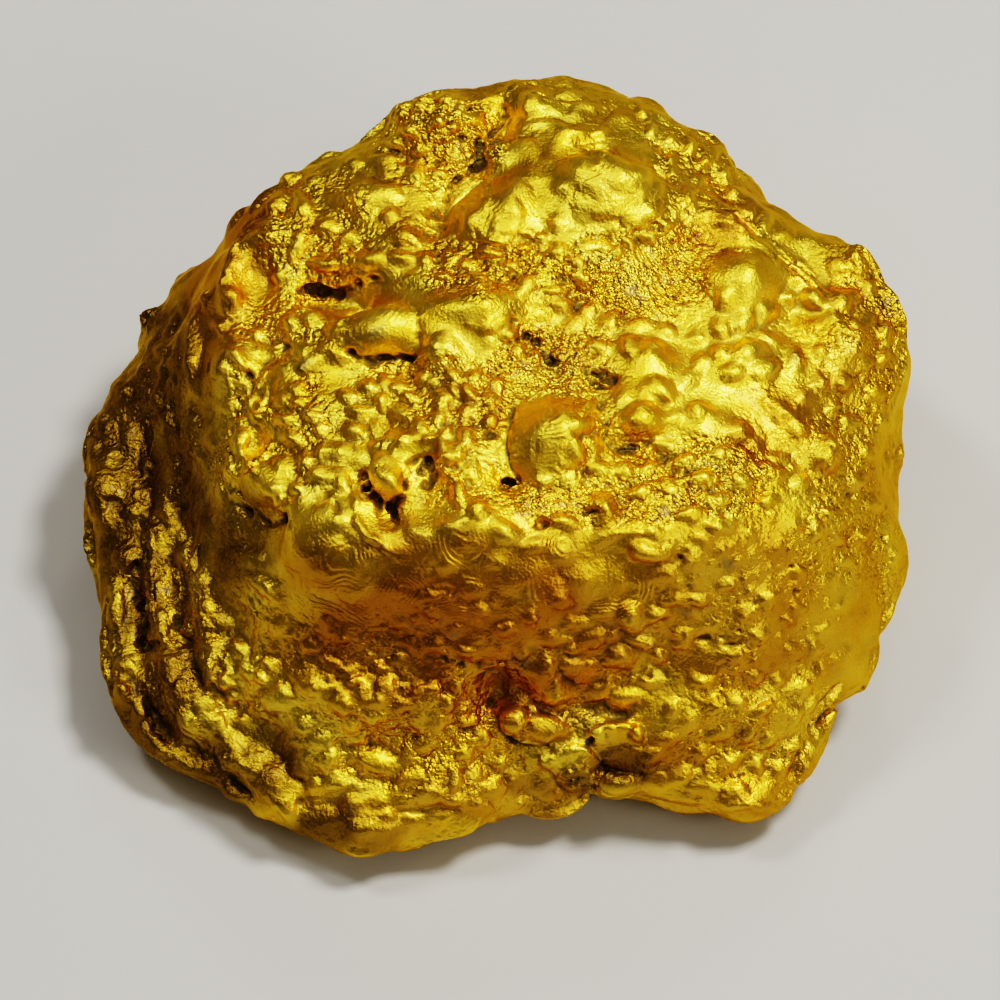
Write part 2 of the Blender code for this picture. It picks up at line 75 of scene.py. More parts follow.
# ---------------------------------------------------------------------------
# The body of the nugget. Native gold grown and battered into one lump: the
# solid's own surface is laid over with an even, finely divided skin, which
# the running water has rounded, and every form below is worked into it.
FINEST = 0.15 * MM
ROUNDING_PASSES = 44
EVENING_PASSES = 350

bpy.ops.object.select_all(action="DESELECT")
nugget = bpy.data.objects.new("nugget_skin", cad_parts["nugget"].data.copy())
bpy.context.scene.collection.objects.link(nugget)
bpy.context.view_layer.objects.active = nugget
nugget.select_set(True)
bpy.ops.object.mode_set(mode="EDIT")
bpy.ops.mesh.select_all(action="SELECT")
bpy.ops.mesh.remove_doubles(threshold=1e-6)
bpy.ops.object.mode_set(mode="OBJECT")
divide = nugget.modifiers.new("divide", "REMESH")
divide.mode = "VOXEL"
divide.voxel_size = FINEST
bpy.ops.object.modifier_apply(modifier=divide.name)
rounding = nugget.modifiers.new("round", "SMOOTH")
rounding.factor = 0.5
rounding.iterations = ROUNDING_PASSES
bpy.ops.object.modifier_apply(modifier=rounding.name)
evened = bpy.data.objects.new("evened", nugget.data.copy())
bpy.context.scene.collection.objects.link(evened)
bpy.ops.object.select_all(action="DESELECT")
bpy.context.view_layer.objects.active = evened
evened.select_set(True)
evening = evened.modifiers.new("even", "SMOOTH")
evening.factor = 0.5
evening.iterations = EVENING_PASSES
bpy.ops.object.modifier_apply(modifier=evening.name)


class Skin:
    """The nugget's surface while it is shaped: its points, and where they show in the view."""

    def __init__(self, mesh):
        self.mesh = mesh
        self.size = len(mesh.vertices)
        self.points = self.read("vertices", "co")
        self.height = np.zeros(self.size)
        self.strays = [sum(reach * self.drift(size, seed, 1) for size, reach, seed in row)
                       for row in STRAYING]
        self.turn_normals()

    def read(self, part, name):
        """A run of points or directions, one row to each point of the mesh."""
        found = np.empty(self.size * 3, np.float32)
        getattr(self.mesh, part).foreach_get(name, found)
        return found.astype(float).reshape(-1, 3)

    def turn_normals(self):
        """Finds the normals afresh, and how squarely each point faces the viewpoint."""
        self.mesh.update()
        self.normals = self.read("vertex_normals", "vector")
        self.across, self.down = in_view(self.points)
        self.across += self.strays[0]
        self.down += self.strays[1]
        sight = np.array(camera.location) - self.points
        sight /= np.linalg.norm(sight, axis=1)[:, None]
        self.square = (self.normals * sight).sum(axis=1)
        self.seen = np.clip((self.square - SEEN_FROM) / (SEEN_FULLY - SEEN_FROM), 0, 1)

    def drift(self, size, seed, octaves=2):
        """Slow random change over the surface, from -1 to 1; size in millimetres."""
        shift = Vector((seed * 4.7, seed * 8.9, seed * 2.3))
        scale = 1 / (size * MM)
        return np.array([
            noise.fractal(Vector(point) * scale + shift, 1.0, 2.0, octaves) for point in self.points
        ])

    def raise_by(self, height, where=slice(None)):
        """Adds to the height, in millimetres, that the surface is about to be moved by."""
        self.height[where] += height

    def work_in(self):
        """Moves the surface along its normals by the height gathered so far."""
        self.points += self.normals * (self.height * MM)[:, None]
        self.height[:] = 0
        self.settle()

    def settle(self):
        """Hands the points to the mesh."""
        self.mesh.vertices.foreach_set("co", self.points.astype(np.float32).ravel())
        self.turn_normals()


# Forms fade out where the surface turns its edge to the viewpoint. They stray
# a few steps from a true oval or line: rows of size in millimetres, steps, seed.
SEEN_FROM, SEEN_FULLY = 0.02, 0.28
STRAYING = (((2.2, 8, 41), (0.8, 2.5, 42)), ((2.2, 8, 43), (0.8, 2.5, 44)))


def eased(share):
    """A share from 0 to 1 with its ends made soft."""
    return share * share * (3 - 2 * share)


# The side toward the viewpoint is evened out more, above the foot.
EVENED_FROM, EVENED_OVER = 0.10, 0.30
FOOT = 2.5 * MM
skin = Skin(nugget.data)
unevenness = skin.drift(0.9, seed=45)
even_points = np.empty(skin.size * 3, np.float32)
evened.data.vertices.foreach_get("co", even_points)
bpy.data.objects.remove(evened)
facing = np.clip((skin.square - EVENED_FROM) / EVENED_OVER, 0, 1)
facing *= np.clip((skin.points[:, 2] - FOOT) / FOOT, 0, 1)
skin.points += (even_points.reshape(-1, 3) - skin.points) * eased(facing)[:, None]
skin.settle()
OVAL_REACH = 1.8
FIRMNESS = 1.9


def oval(x, y, half_width, half_height, turn=0):
    """Points in reach of an oval in the view, with their distance as a share of its edge."""
    reach = OVAL_REACH * max(half_width, half_height)
    near = np.abs(skin.across - x) < reach
    near &= np.abs(skin.down - y) < reach
    near &= skin.seen > 0
    near = np.nonzero(near)[0]
    angle = math.radians(turn)
    right, low = skin.across[near] - x, skin.down[near] - y
    along = (right * math.cos(angle) - low * math.sin(angle)) / half_width
    over = (right * math.sin(angle) + low * math.cos(angle)) / half_height
    return near, np.hypot(along, over)


def lump(x, y, half_width, half_height, height, turn=0, firmness=FIRMNESS):
    """A rounded form; sunk where the height is negative."""
    near, away = oval(x, y, half_width, half_height, turn)
    crown = np.clip(1 - away**2, 0, None) ** firmness
    skin.raise_by(crown * height * skin.seen[near], near)


# ---------------------------------------------------------------------------
# The outline's knobs and bays. The metal bulges and draws in along its edge;
# each row is x, y and by how many steps the edge stands out there.
EDGE_FORMS = (
    (900, 470, -10), (901, 434, -6), (908, 359, 12), (903, 323, 9), (893, 286, 13), (794, 223, -11),
    (767, 202, -7), (728, 146, 12), (662, 108, 10), (638, 92, 16), (603, 84, 8), (467, 96, -9),
    (377, 134, -11), (349, 148, -6), (264, 189, 9), (290, 174, 5), (240, 210, 5), (174, 281, 8),
    (155, 309, -7), (139, 338, -7), (105, 400, 6), (97, 541, -15), (101, 656, 9), (113, 693, -6),
    (157, 759, 5), (359, 852, 8), (435, 839, -13), (468, 831, -12), (499, 820, -6), (530, 815, 13),
    (560, 808, 8), (588, 797, 12), (619, 799, -6), (657, 808, -12), (697, 813, -10), (783, 804, 9),
    (839, 703, 12), (864, 680, -5), (877, 647, 13), (890, 612, 11), (902, 578, 5),
)
EDGE_REACH = 26
EDGE_UP_TO, EDGE_OVER = 0.75, 0.5
LEAST_LEVEL = 0.2
VIEW_STEP = VIEW_SPAN / VIEW_STEPS
across, down = in_view(skin.points)
outward = skin.normals * (1, 1, 0)
outward /= np.maximum(np.linalg.norm(outward, axis=1), LEAST_LEVEL)[:, None]
edgewise = np.clip((EDGE_UP_TO - np.abs(skin.square)) / EDGE_OVER, 0, 1)
for x, y, shift in EDGE_FORMS:
    near = np.exp(-((across - x) ** 2 + (down - y) ** 2) / EDGE_REACH**2) * edgewise
    skin.points += outward * (near * shift * VIEW_STEP)[:, None]
skin.settle()

# ---------------------------------------------------------------------------
# The great forms. Where the metal grew as thick lobes they stay smooth and
# full: the dome, the finger, the arch with its leaning bean, the bosses.

# Rows are x, y, half width, half height, height in millimetres and, where they
# have them, turn and firmness: a firmer form has a narrower top and a softer foot.
GREAT_LUMPS = {
    "left lobe": (438, 124, 60, 34, 0.50, 8),
    "lobe's left end": (402, 116, 20, 14, 0.16, 25),
    "lobe over the crease": (534, 104, 36, 17, 0.34, -4),
    "knob on the back rim": (496, 155, 25, 21, 0.55),
    "form right of the crease": (498, 206, 66, 72, 0.08, -20, 1.3),
    "its bright back": (515, 200, 20, 50, 0.20, -14, 1.3),
    "its left shoulder": (474, 222, 16, 22, 0.14, -30, 1.3),
    "left of the dome": (550, 204, 30, 60, 0.20, 8, 1.3),
    "between the knob and the dome": (532, 164, 36, 20, 0.26, -12, 1.3),
    "below the dome": (612, 264, 60, 28, 0.26),
    "right of the dome": (678, 210, 30, 50, 0.30, -20),
    "behind the dome": (574, 138, 40, 20, 0.26, 10),
    "dome": (612, 196, 96, 84, 0.12, 0, 1.4),
    "dome's upper crest": (627, 180, 26, 15, 0.20, 10, 1.4),
    "dome's middle crest": (606, 208, 26, 15, 0.20, -14, 1.4),
    "dome's lower crest": (590, 238, 24, 15, 0.20, 0, 1.4),
    "dome's right brow": (650, 216, 20, 16, 0.14, -30),
    "dome's left brow": (574, 172, 18, 22, 0.14, 20),
    "dome's upper brow": (608, 150, 26, 14, 0.14),
    "dome's upper brow, left": (566, 140, 20, 14, 0.14),
    "smooth back of the dome": (588, 138, 64, 24, 0.22),
    "back rim's lobe": (612, 104, 46, 15, 0.24, 8),
    "shoulder patch": (270, 205, 30, 16, 0.22, 30),
    "left dish": (258, 278, 25, 40, -0.32, 5),
    "boss under the back rim": (362, 200, 28, 28, 0.30, 15),
    "smooth knob": (407, 240, 17, 17, 0.30),
    "lump over the gash": (340, 258, 30, 15, 0.22, -15),
    "lump under the gash": (302, 334, 38, 22, 0.26, 10),
    "finger": (384, 330, 46, 33, 0.66, 8),
    "finger's tip": (366, 338, 24, 18, 0.16),
    "finger's root": (452, 310, 46, 18, 0.14, -4),
    "boss by the finger": (441, 354, 31, 23, 0.46),
    "bright pair, upper": (489, 326, 17, 12, 0.26, 20),
    "bright pair, lower": (488, 342, 10, 8, 0.12),
    "bright lump": (744, 286, 58, 44, 0.14, 30),
    "knob right of the crown": (803, 327, 15, 15, 0.30),
    "knob under the bright lump": (768, 335, 15, 12, 0.24),
    "upright knob": (790, 360, 12, 21, 0.26, 8),
    "knoll": (736, 366, 36, 28, 0.28),
    "knoll, right": (764, 392, 26, 20, 0.18),
    "smooth boss": (650, 360, 30, 22, 0.26),
    "round boss": (656, 392, 22, 18, 0.28),
    "side boss": (690, 378, 20, 15, 0.22),
    "bean": (640, 422, 34, 20, 0.48, 6),
    "boss right of the bean": (704, 420, 32, 24, 0.24),
    "wrinkled boss": (550, 440, 46, 48, 0.40, -20, 1.5),
    "crumbly side of the boss": (590, 418, 22, 26, 0.20),
    "terrace lobe": (238, 362, 36, 46, 0.44, 25),
    "terrace depression": (238, 384, 22, 24, -0.22),
    "terrace hollow": (262, 438, 28, 24, -0.14),
    "terrace corner": (264, 486, 38, 24, 0.42, 12),
    "bubble mound": (318, 428, 34, 30, 0.26),
    "bubble mound, right": (392, 400, 44, 26, 0.22),
    "hump left of the arch": (326, 520, 30, 26, 0.30),
    "leaning bean": (389, 478, 17, 30, 0.80, 24),
    "right shoulder lump": (858, 262, 26, 16, 0.22, 40),
    "right shoulder bead": (812, 298, 12, 12, 0.22),
    "right rim bead": (884, 335, 12, 24, 0.22),
    "right flank bead": (846, 300, 13, 11, 0.22),
    "right flank knob": (843, 380, 13, 12, 0.22),
    "right flank bean": (824, 456, 14, 22, 0.26, 10),
    "right flank lump": (836, 520, 20, 20, 0.20),
    "right flank's swell": (852, 600, 34, 60, 0.30),
    "bright tip of the curved ridge": (768, 470, 20, 12, 0.30, -10),
    "flange knob": (100, 486, 24, 44, 0.34),
    "inner flange knob": (134, 500, 15, 30, 0.30),
    "flange hollow": (112, 506, 14, 13, -0.20),
    "rough flange lump": (128, 560, 17, 26, 0.40),
    "face's dark bulge": (300, 560, 34, 30, 0.20, 30),
    "oval boss": (512, 716, 16, 18, 0.55, 14),
    "tongue": (540, 726, 32, 17, 0.34, -14),
    "square lump": (574, 770, 36, 26, 0.40, 0, 1.2),
    "low lobe": (616, 786, 28, 14, 0.36, 6),
    "faceted lump": (560, 680, 30, 26, 0.26),
    "ledge body": (634, 748, 50, 26, 0.26, 4),
    "nose": (366, 818, 36, 32, 0.34),
    "bright brow of the nose": (374, 764, 30, 15, 0.34, -12),
    "skirt swell": (440, 752, 60, 30, 0.30),
    "skirt swell, middle": (478, 792, 60, 18, 0.24),
    "right foot": (750, 800, 50, 16, 0.34),
    "right skirt's swell": (716, 700, 60, 34, 0.26, -30),
    "tan lobe": (848, 660, 26, 44, 0.24, 14),
    "shoulder boss": (646, 552, 30, 20, 0.30),
    "front boss": (632, 622, 20, 17, 0.24),
    "first boss of the lip": (432, 544, 38, 36, 0.26, 0, 1.4),
    "second boss of the lip": (518, 566, 40, 34, 0.24, 0, 1.4),
    "left boss of the lip": (346, 572, 36, 34, 0.20, 0, 1.4),
    "right boss of the lip": (600, 584, 36, 26, 0.24, 0, 1.4),
    "behind the finger": (410, 274, 76, 24, 0.26, -6, 1.3),
    "dark dell": (716, 645, 34, 16, -0.26),
    "face's left dell": (420, 632, 110, 26, -0.30, -4),
    "hollow in the skirt": (500, 686, 14, 26, -0.14, 10),
    "hollow over the ledge": (606, 710, 44, 14, -0.36),
}
# Ridges and creases are a route, half width, and height or depth.
GREAT_RIDGES = {
    "rim of the back": (((505, 92), (530, 84), (560, 84), (590, 88)), 6, 0.25),
    "arch": (((377, 452), (392, 443), (412, 440), (431, 440), (442, 450), (444, 468)), 6.5, 0.62),
    "arch's root": (((444, 465), (452, 478), (466, 492)), 7, 0.30),
    "bright fold": (((352, 496), (360, 516), (372, 532), (386, 546)), 5, 0.36),
    "crown ridge": (((690, 208), (738, 236), (782, 262), (818, 292), (838, 330)), 11, 0.30),
    "outer shoulder rib": (((672, 132), (706, 152), (734, 186), (764, 218)), 8, 0.24),
    "inner shoulder rib": (((640, 150), (676, 176), (712, 206), (742, 232)), 7, 0.18),
    "smooth band": (((864, 336), (838, 366), (806, 396), (764, 430), (742, 452)), 12, 0.24),
    "right flank ridge": (((768, 402), (786, 418), (806, 432)), 8, 0.20),
    "curved ridge": (((736, 462), (752, 474), (772, 474), (788, 464)), 7, 0.22),
    "crest over the finger": (((352, 306), (374, 296), (404, 284), (440, 279), (476, 290)), 7, 0.14),
    "second terrace lobe": (((334, 350), (296, 360), (266, 388), (244, 420), (228, 440)), 13, 0.34),
    "lower terrace edge": (((226, 452), (232, 482), (246, 502), (278, 512)), 7, 0.10),
    "crescent, left": (((246, 436), (243, 448), (247, 462)), 4, 0.20),
    "crescent, right": (((256, 466), (267, 460), (271, 448)), 4, 0.26),
    "left dish's brim": (((230, 312), (229, 284), (236, 258), (256, 240), (280, 238)), 6, 0.30),
    "folded skin over the face": (((600, 537), (628, 533), (656, 529)), 6, 0.26),
    "serrated ledge": (((590, 735), (608, 728), (628, 727), (642, 733)), 5, 0.36),
    "square lump's brow": (((546, 760), (562, 752), (584, 753), (602, 762)), 6, 0.34),
    "skirt rim, left": (((380, 834), (420, 826), (462, 816)), 7, 0.20),
    "skirt rim, middle": (((494, 808), (530, 806), (570, 794)), 7, 0.24),
    "flange rib": (((152, 534), (150, 572), (156, 612), (166, 648)), 9, 0.45),
    "flange rib's foot": (((166, 648), (176, 690), (200, 722), (232, 760)), 11, 0.45),
    "long ridge to the nose": (((232, 758), (262, 786), (292, 812)), 10, 0.40),
    "second flange rib": (((188, 548), (196, 590), (206, 630), (216, 672)), 9, 0.34),
    "outer flange rib": (((106, 574), (110, 612), (118, 646), (128, 684)), 9, 0.40),
    "outer foot rib": (((126, 690), (142, 716), (152, 742), (186, 764)), 9, 0.36),
    "leaf on the foot": (((182, 712), (190, 730), (200, 742)), 7, 0.30),
    "rib above the foot": (((214, 676), (246, 700), (276, 704)), 9, 0.30),
    "face's leaf": (((222, 556), (244, 576), (272, 592)), 9, 0.36),
    "outer edge of the flank": (((152, 330), (142, 372), (120, 404), (100, 428)), 7, 0.28),
    "flank rib": (((176, 300), (166, 350), (160, 400), (154, 450)), 7, 0.24),
    "flank rib, inner": (((196, 300), (190, 350), (188, 400), (196, 452)), 7, 0.24),
    "diagonal of the right skirt": (((776, 700), (744, 740), (712, 776)), 9, 0.26),
    "right sliver": (((832, 712), (820, 738), (806, 766), (796, 784)), 4, 0.30),
    "brow of the skirt": (
        ((214, 664), (258, 674), (300, 690), (352, 700), (404, 700), (452, 704)), 18, 0.42),
}
GREAT_CREASES = {
    "crease left of the dome": (
        ((504, 104), (500, 122), (482, 140), (474, 158), (477, 172), (456, 186),
         (442, 202), (434, 222)), 3.2, 0.50),
    "crease's lower arm": (((434, 226), (440, 244), (452, 256)), 3, 0.20),
    "gash": (((306, 292), (322, 290), (340, 292), (356, 287)), 5.5, 0.60),
    "gap under the finger": (((344, 350), (362, 357), (386, 361), (414, 358)), 3, 0.60),
    "finger's notch": (((413, 360), (419, 342), (420, 324), (414, 308)), 3.5, 0.30),
    "crown crease": (((514, 318), (528, 332), (544, 346), (556, 370)), 3, 0.30),
    "crease under the bean": (((606, 436), (624, 445), (644, 447), (660, 440)), 3, 0.34),
    "crease round the boss": (((514, 412), (508, 436), (511, 462), (524, 484)), 3, 0.26),
    "valley right of the boss": (((608, 400), (608, 420), (602, 448)), 3.5, 0.22),
    "terrace undercut": (((228, 494), (240, 510), (258, 519), (286, 517)), 4, 0.42),
    "crease between terraces": (((250, 396), (258, 374), (280, 352), (312, 342)), 3, 0.26),
    "valley behind the crown ridge": (((690, 184), (730, 216), (776, 248), (828, 284)), 6, 0.16),
    "flank valley": (((150, 400), (146, 440), (154, 490), (160, 528)), 5, 0.26),
    "flank valley, inner": (((176, 380), (174, 430), (180, 490), (186, 540)), 5, 0.26),
    "flange gap": (((136, 560), (138, 600), (146, 636), (166, 650)), 4.5, 0.55),
    "outer flange gap": (((118, 664), (140, 690), (160, 722), (196, 748)), 5, 0.36),
    "inner flange gap": (((172, 560), (178, 600), (186, 640), (200, 690)), 4.5, 0.32),
    "foot valley": (((204, 744), (226, 772), (250, 796)), 5, 0.28),
    "valley by the nose": (((292, 770), (304, 794), (300, 816)), 6, 0.26),
    "crease under the tan lobe": (((862, 692), (846, 706), (832, 708)), 3, 0.34),
    "crease along the sliver": (((826, 708), (812, 734), (798, 762), (786, 784)), 2.5, 0.26),
    "under the oval boss": (((498, 722), (508, 740), (528, 748), (548, 746)), 2.5, 0.30),
    "left of the square lump": (((548, 760), (552, 780), (566, 796)), 3, 0.30),
    "right of the square lump": (((604, 752), (606, 772), (596, 790)), 3, 0.34),
    "under the ledge": (((600, 762), (620, 772), (646, 774)), 4, 0.12),
    "hollow's left arm": (((396, 652), (430, 658), (462, 664), (492, 676)), 4, 0.22),
    "arch's shadow": (((412, 462), (424, 458), (432, 470), (426, 484)), 4, 0.45),
    "left of the leaning bean": (((366, 476), (372, 494), (388, 512), (404, 500)), 4, 0.80),
    "hollow by the boss": (((502, 484), (512, 486)), 5, 0.45),
    "ripple's foot": (((560, 395), (548, 420), (540, 452)), 2, 0.10),
}
# Flats turned a little to one side: x, y, half width, half height, then how
# steeply the flat falls to the right and to the front.
FLAT_FIRMNESS = 1.5
LEANING_FLATS = {
    "bright lump": (754, 288, 84, 60, 0.36, 0.16),
    "shelf of the skirt": (400, 770, 110, 42, 0.0, -0.56),
    "below the arch": (440, 420, 50, 30, 0.14, 0.14),
    "square lump's face": (576, 780, 24, 16, 0.0, 0.60),
    "side of the right skirt": (740, 760, 90, 50, 0.0, -0.20),
    "crumbs right of the dome": (640, 262, 60, 40, 0.10, 0.10),
    "side of the round boss": (585, 425, 34, 34, 0.20, 0.16),
    "terrace's side": (236, 378, 30, 34, 0.20, 0.10),
    "knob's side": (384, 272, 40, 30, 0.15, 0.06),
    "left of the finger": (300, 420, 50, 40, 0.10, 0.10),
    "right band": (820, 410, 60, 60, 0.30, -0.10),
    "back of the crown": (690, 180, 50, 40, 0.10, 0.20),
    "left lobe": (430, 128, 50, 34, 0.15, 0.20),
    "arch's front": (430, 428, 40, 26, 0.16, 0.22),
    "terrace corner": (270, 474, 40, 24, 0.10, 0.20),
}
for x, y, half_width, half_height, right, front in LEANING_FLATS.values():
    near, away = oval(x, y, half_width, half_height)
    held = np.clip(1 - away**2, 0, None) ** FLAT_FIRMNESS * skin.seen[near]
    fall = right * (skin.across[near] - x) + front * (skin.down[near] - y)
    skin.raise_by(-fall * held * VIEW_STEP / MM, near)
# The worn edge over the face: x, y, half width, how far it reaches above and
# below, and by how many millimetres it is rounded off there.
WORN_EDGES = {
    "left": (420, 604, 190, 84, 120, 0.62),
    "right": (620, 600, 150, 92, 120, 0.74),
}
for x, y, half_width, above, below, depth in WORN_EDGES.values():
    upright = (skin.down - y) / np.where(skin.down < y, above, below)
    away = np.hypot((skin.across - x) / half_width, upright)
    skin.raise_by(-depth * np.clip(1 - away**2, 0, None) ** FLAT_FIRMNESS * skin.seen)
FULLNESS = 1.2
ROUTE_REACH = 60
ROUTE_STEPS = 6
CREASE_EVENNESS = 0.6
SWELL, MOST_SWELL = 3.0, 1.6


def curve(route):
    """A smooth run of points through the given ones."""
    route = [route[0], *route, route[-1]]
    found = []
    for before, here, there, after in zip(route, route[1:], route[2:], route[3:]):
        a, b, c, d = (np.array(point, float) for point in (before, here, there, after))
        for share in np.arange(ROUTE_STEPS) / ROUTE_STEPS:
            found.append(
                0.5 * (2 * b + (c - a) * share + (2 * a - 5 * b + 4 * c - d) * share**2
                       + (3 * b - a - 3 * c + d) * share**3)
            )
    found.append(np.array(route[-1], float))
    return np.array(found)


def trail(route):
    """Points near a route, with their distance from it in steps."""
    low, high = route.min(axis=0) - ROUTE_REACH, route.max(axis=0) + ROUTE_REACH
    near = (skin.across > low[0]) & (skin.across < high[0]) & (skin.seen > 0)
    near &= (skin.down > low[1]) & (skin.down < high[1])
    near = np.nonzero(near)[0]
    here = np.column_stack((skin.across[near], skin.down[near]))
    away = np.full(len(near), np.inf)
    for start, end in zip(route, route[1:]):
        step = end - start
        share = np.clip((here - start) @ step / (step @ step), 0, 1)
        offset = here - start - share[:, None] * step
        away = np.minimum(away, np.hypot(offset[:, 0], offset[:, 1]))
    return near, away


def ridge(route, half_width, height, evenness=0.8):
    """A raised line; a crease where the height is negative. It fades and swells along its way."""
    near, away = trail(curve(route))
    swell = np.clip(evenness + (1 - evenness) * SWELL * unevenness[near], 0, MOST_SWELL)
    skin.raise_by(height * swell * np.exp(-((away / half_width) ** 2)) * skin.seen[near], near)


for x, y, half_width, half_height, height, *ways in GREAT_LUMPS.values():
    lump(x, y, half_width, half_height, FULLNESS * height, *ways)
skin.work_in()
for route, half_width, height in GREAT_RIDGES.values():
    ridge(route, half_width, height)
for route, half_width, depth in GREAT_CREASES.values():
    ridge(route, half_width, -depth, CREASE_EVENNESS)
skin.work_in()

